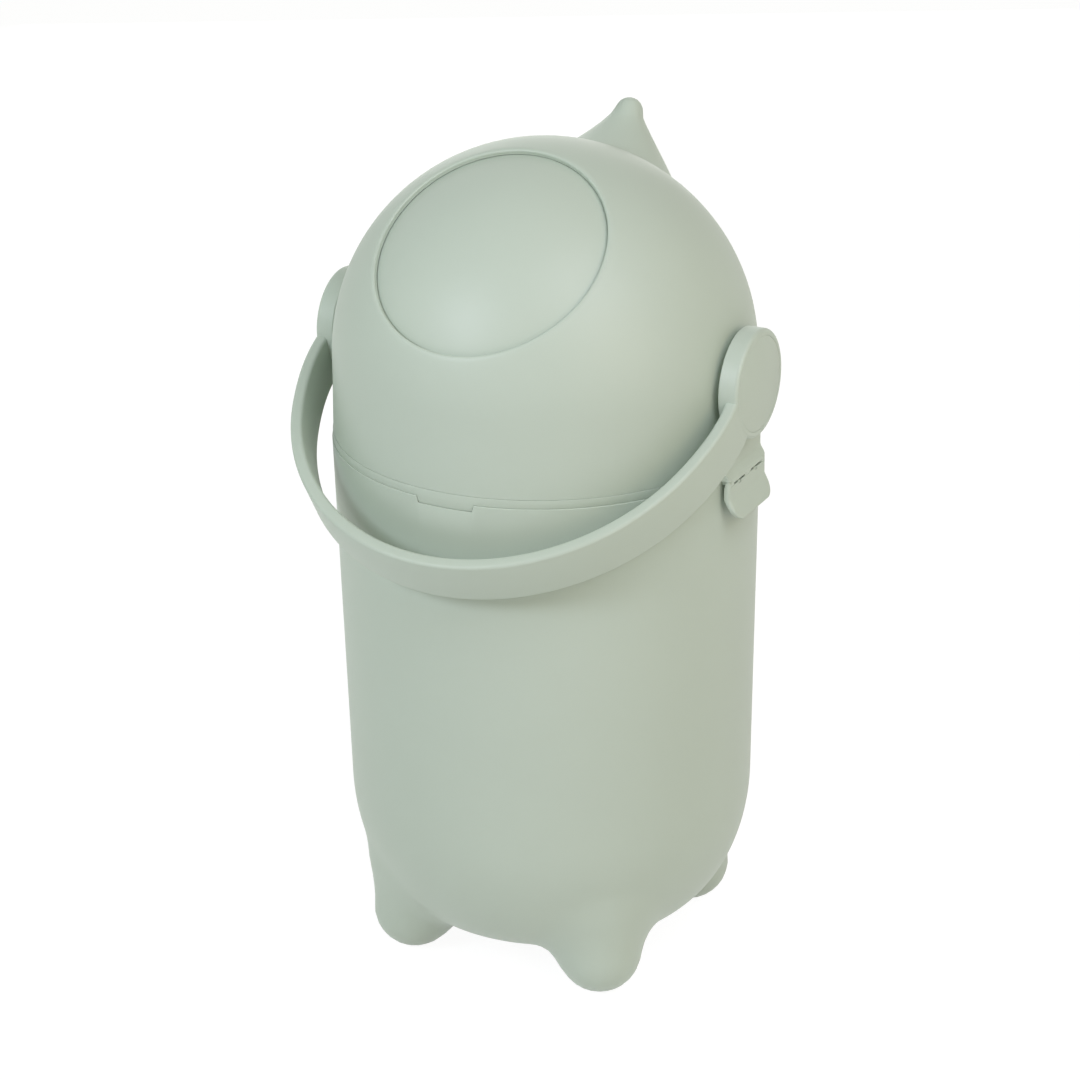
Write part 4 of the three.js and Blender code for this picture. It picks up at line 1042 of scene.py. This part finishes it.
class NAPPYBIN_OT_ball(bpy.types.Operator):
    """Model the two halves of the ball that the handle turns"""

    bl_idname = "nappy_bin.ball"
    bl_label = "Ball"

    def execute(self, context):
        size = sizes()
        out, wall = size.ball_radius, size.ball_wall
        inside = out - wall
        middle = inside + wall / 2
        mouth = asin((size.opening_radius - 0.0006) / out)
        lip, lap, gap = 0.0008 / out, 0.005 / out, size.fit_gap / out
        play = 0.00015
        split = radians(79)
        tilt = size.opening_tilt - QUARTER
        cup = lathed([
            *ball_arc(out, mouth + lip, split, 24),
            ball_point(middle - play, split), ball_point(middle - play, split + lap),
            *ball_arc(inside, split + lap, mouth + lip, 24),
            ball_point(inside + wall * 0.25, mouth + lip * 0.3),
            ball_point(middle, mouth),
            ball_point(out - wall * 0.25, mouth + lip * 0.3),
        ], BALL_STEPS, closed=True)
        dress("Drum_cup", cup, TO_BALL @ facing(tilt - size.handle_droop), "handle_ball",
              "drum_cup")
        back = lathed([
            (0, -out), *ball_arc(out, pi, split + gap, 60)[1:],
            ball_point(middle + play, split + gap),
            ball_point(middle + play, split + lap + gap),
            *ball_arc(inside, split + lap + gap, pi, 60)[:-1], (0, -inside),
        ], BALL_STEPS)
        back = placed(joined(back), facing(tilt))
        square = Matrix.Diagonal((0.03, 0.0116, 0.0116, 1))
        bosses = []
        for side in (1, -1):
            boss = along_x(drum(0.011, inside - 0.007, middle, BORE_STEPS, edge=0.0004))
            socket = bmesh.new()
            bmesh.ops.create_cube(
                socket, size=1, matrix=Matrix.Translation((inside - 0.010, 0, 0)) @ square)
            bosses.append(mesh_side(cut(boss, socket), side))
            bore = along_x(drum(JOURNAL_BORE, inside - 0.001, out + 0.002, BORE_STEPS))
            back = cut(back, mesh_side(bore, side))
        droop = TO_BALL @ Matrix.Rotation(size.handle_droop, 4, "X")
        dress("Drum_back", joined(back, *bosses), droop, "handle_ball", "drum_back")
        return {"FINISHED"}


# Clip


class NAPPYBIN_OT_clip(bpy.types.Operator):
    """Model the clip's tongue with its round head, hook and lugs"""

    bl_idname = "nappy_bin.clip"
    bl_label = "Clip"

    def plate(self, size):
        """The flat tongue with round edges and a hollow back, flaring out below its bend."""
        x, _, top = CLIP_PIN
        half = size.clip_half_width
        foot = top - size.clip_length
        back = x - size.clip_depth / 2
        mesh = sheet([(back, -half, top), (back, -half, foot), (back, half, foot),
                      (back, half, top)])
        lower = mesh.verts[:][1:3]
        rounded(mesh, lower, size.clip_corner, segments=14, affect="VERTICES")
        thickened(mesh, (size.clip_depth, 0, 0))
        inner = [face for face in mesh.faces if face.normal.x < -0.9]
        bmesh.ops.inset_region(
            mesh, faces=inner, thickness=0.002, depth=size.clip_plate - size.clip_depth,
            use_boundary=True, use_even_offset=True)
        rim = [edge for edge in mesh.edges
               if all(abs(v.co.x - back - size.clip_depth) < SAME for v in edge.verts)
               and any(v.co.z < top - SAME for v in edge.verts)]
        rounded(mesh, rim, size.clip_edge, segments=6)
        bend = top - size.clip_bend
        levels = 8
        for level in range(levels):
            bmesh.ops.bisect_plane(
                mesh, geom=whole_of(mesh), dist=SAME,
                plane_co=(0, 0, bend - (bend - foot) * level / levels), plane_no=(0, 0, 1))
        for vertex in mesh.verts:
            vertex.co.x += self.flare(size, vertex.co.z)
        return mesh

    def flare(self, size, height):
        """How far the tongue stands out at a height."""
        bend = CLIP_PIN.z - size.clip_bend
        return size.clip_flare * clamped((bend - height) / (size.clip_length - size.clip_bend))

    def head(self, size):
        """The round top that turns in the bracket's hollow, with its slots open."""
        half, top = size.clip_half_width, CLIP_PIN.z
        head = bar(CLIP_PIN, size.clip_depth / 2 + SUNK, -half, half, BORE_STEPS)
        return cut(shared(head, clip_plan(0.0001)), *clip_slots(top + 0.00105, top + 0.004))

    def rooms(self, size):
        """What is cut out of the tongue: room for the bracket's ears, and the pin's bore."""
        x, _, z = CLIP_PIN
        low, ledge, top = z - size.clip_depth / 2 - size.fit_gap, z - 0.0004, z + 0.004
        left, skin, right = x - 0.01, x + 0.0017, x + 0.01
        outline = [(left, low), (skin, low), (skin, ledge), (right, ledge), (right, top),
                   (left, top)]
        spans = both(size.ear_place - 0.0016, size.ear_place + 0.0016)
        bore = bar(CLIP_PIN, 0.0013, -0.0268, 0.0268, steps=20)
        return [*(slab(outline, *span) for span in spans), bore]

    def hook(self, size):
        """The hook that lies under the bucket's catch."""
        top = CLIP_PIN.z - HOOK_DROP
        foot = top - 0.0052
        reach = bucket_radius(top) + 0.00075
        plate_back = CLIP_PIN.x + size.clip_depth / 2 - size.clip_plate
        root = plate_back + size.clip_plate / 2
        return softened(slab([
            (root + self.flare(size, top), top), (reach, top), (reach, top - 0.0016),
            (root + self.flare(size, foot), foot)], -CATCH_HALF, CATCH_HALF))

    def lugs(self, size):
        """The round-topped lugs that close the ends of the bracket's hollow."""
        x, _, z = CLIP_PIN
        half, reach, corner = size.clip_half_width, size.clip_depth / 2, 0.0016
        top = LUG_REACH - corner
        outline = [
            (x - reach, z), (x + reach, z),
            *arc((x + reach - corner, z + top), corner, 0, pi, 12)]
        return [shared(slab(outline, *span), clip_plan())
                for span in both(half - LUG_WIDTH, half)]

    def execute(self, context):
        size = sizes()
        tongue = cut(united(self.plate(size), self.head(size)), *self.rooms(size))
        whole = united(tongue, self.hook(size), *self.lugs(size))
        dress("Clip", whole, TO_AXIS, "clip_tongue", "clip")
        return {"FINISHED"}


class NAPPYBIN_OT_fittings(bpy.types.Operator):
    """Give the pins, screws, bushes and axles their finishes"""

    bl_idname = "nappy_bin.fittings"
    bl_label = "Fittings"

    def execute(self, context):
        for slot, starts in (
                ("steel", ("hinge_pin", "clip_pin", "dome_screw", "axle_screw")),
                ("pale_plastic", ("axle_bush", "axle_right", "axle_left"))):
            for name, node in frame["nodes"].items():
                if name.startswith(starts):
                    node.data.materials.clear()
                    node.data.materials.append(finish_of(slot))
        return {"FINISHED"}


# Studio


WHITE = (1, 1, 1, 1)
LAMP_AIM = Vector((0, 0, 0.32))
LAMPS = (
    # Name, place, side, power in watts, colour
    ("Key", (-0.81, -2.01, 1.57), 0.7, 25, (0.81, 0.86, 1.0)),
    ("Left", (-1.96, -1.13, 1.38), 1.5, 6.5, (0.88, 1.0, 0.80)),
    ("High", (1.39, -0.80, 2.24), 1.5, 27, (0.85, 0.88, 1.0)),
    ("Right", (2.16, -0.92, 1.18), 1.5, 13.4, (1.0, 0.86, 0.69)),
    ("Back right", (1.77, 1.02, 1.75), 1.5, 3, (1.0, 0.92, 0.73)),
    ("Back", (-1.15, 2.25, 0.60), 1.5, 9, (0.96, 0.96, 0.92)),
)


def plain_rays(tree):
    """One for rays of the camera, of reflections and through glass, and nought for others."""
    rays = tree.nodes.new("ShaderNodeLightPath").outputs
    seen = maths(tree, "MAXIMUM", rays["Is Camera Ray"], rays["Is Glossy Ray"])
    return maths(tree, "MAXIMUM", seen, rays["Is Transmission Ray"])


class NAPPYBIN_OT_stage(bpy.types.Operator):
    """Make the plain pale studio: floor, background, soft lamps and camera"""

    bl_idname = "nappy_bin.stage"
    bl_label = "Stage"

    def floor(self):
        """A wide pale floor that shows white to the camera and keeps a soft shadow."""
        mesh = bmesh.new()
        bmesh.ops.create_grid(mesh, x_segments=2, y_segments=2, size=6)
        floor = as_object("Floor", mesh)
        material = bpy.data.materials.new("Studio floor")
        material.use_nodes = True
        tree = material.node_tree
        shader = fill(tree.nodes["Principled BSDF"], {
            "Base Color": (*finish().floor, 1), "Roughness": 0.9})
        glow, glow_share = 1.14, 0.82
        white = add_node(tree, "ShaderNodeEmission", {"Color": WHITE, "Strength": glow})
        mix = add_node(tree, "ShaderNodeMixShader", {
            "Fac": maths(tree, "MULTIPLY", plain_rays(tree), glow_share),
            1: shader.outputs["BSDF"], 2: white.outputs["Emission"]})
        fill(tree.nodes["Material Output"], {"Surface": mix.outputs["Shader"]})
        floor.data.materials.append(material)

    def world(self):
        """White to the camera and in reflections, and a dim grey light on the object."""
        world = bpy.data.worlds.new("Studio")
        bpy.context.scene.world = world
        world.use_nodes = True
        tree = world.node_tree
        light = add_node(tree, "ShaderNodeMix", {
            "A": (0.20, 0.205, 0.15, 1), "B": WHITE, "Factor": plain_rays(tree)},
            data_type="RGBA")
        fill(tree.nodes["Background"], {"Color": light.outputs["Result"]})

    def lamp(self, name, place, side, power, tint):
        """A soft square lamp that faces the bin."""
        data = bpy.data.lights.new(name, "AREA")
        data.shape = "RECTANGLE"
        data.size = side
        data.size_y = side
        data.energy = power
        data.color = tint
        lamp = bpy.data.objects.new(name, data)
        lamp.location = place
        lamp.rotation_euler = (LAMP_AIM - Vector(place)).to_track_quat("-Z", "Y").to_euler()
        bpy.context.scene.collection.objects.link(lamp)

    def camera(self):
        """The photograph's viewpoint."""
        data = bpy.data.cameras.new("Camera")
        data.lens = 110.28
        data.sensor_width = 36
        camera = bpy.data.objects.new("Camera", data)
        turn = Matrix((
            (0.88888, -0.16670, 0.42673),
            (0.45787, 0.35511, -0.81502),
            (-0.01567, 0.91984, 0.39198)))
        camera.matrix_world = Matrix.Translation((0.94670, -1.80453, 1.16308)) @ turn.to_4x4()
        bpy.context.scene.collection.objects.link(camera)
        bpy.context.scene.camera = camera

    def execute(self, context):
        bpy.context.scene.view_settings.view_transform = "Standard"
        self.floor()
        self.world()
        self.camera()
        for lamp in LAMPS:
            self.lamp(*lamp)
        return {"FINISHED"}


class NAPPYBIN_PT_panel(bpy.types.Panel):
    """Lists the steps that model the bin"""

    bl_label = "Nappy bin"
    bl_idname = "NAPPYBIN_PT_panel"
    bl_space_type = "VIEW_3D"
    bl_region_type = "UI"
    bl_category = "Nappy bin"

    def draw(self, context):
        for step in STEPS:
            self.layout.operator(step.bl_idname)


STEPS = (
    NAPPYBIN_OT_bucket, NAPPYBIN_OT_bag_ring, NAPPYBIN_OT_lid_ring, NAPPYBIN_OT_dome,
    NAPPYBIN_OT_seals, NAPPYBIN_OT_handle, NAPPYBIN_OT_ball, NAPPYBIN_OT_clip,
    NAPPYBIN_OT_fittings, NAPPYBIN_OT_stage)
CLASSES = (NappyBinSizes, NappyBinFinish, *STEPS, NAPPYBIN_PT_panel)


def register():
    for each in CLASSES:
        bpy.utils.register_class(each)
    bpy.types.Scene.nappy_bin_sizes = bpy.props.PointerProperty(type=NappyBinSizes)
    bpy.types.Scene.nappy_bin_finish = bpy.props.PointerProperty(type=NappyBinFinish)


def unregister():
    del bpy.types.Scene.nappy_bin_finish
    del bpy.types.Scene.nappy_bin_sizes
    for each in reversed(CLASSES):
        bpy.utils.unregister_class(each)


def main():
    register()
    for step in STEPS:
        operator = getattr(bpy.ops.nappy_bin, step.bl_idname.split(".")[1])
        operator()


if __name__ == "__main__":
    main()
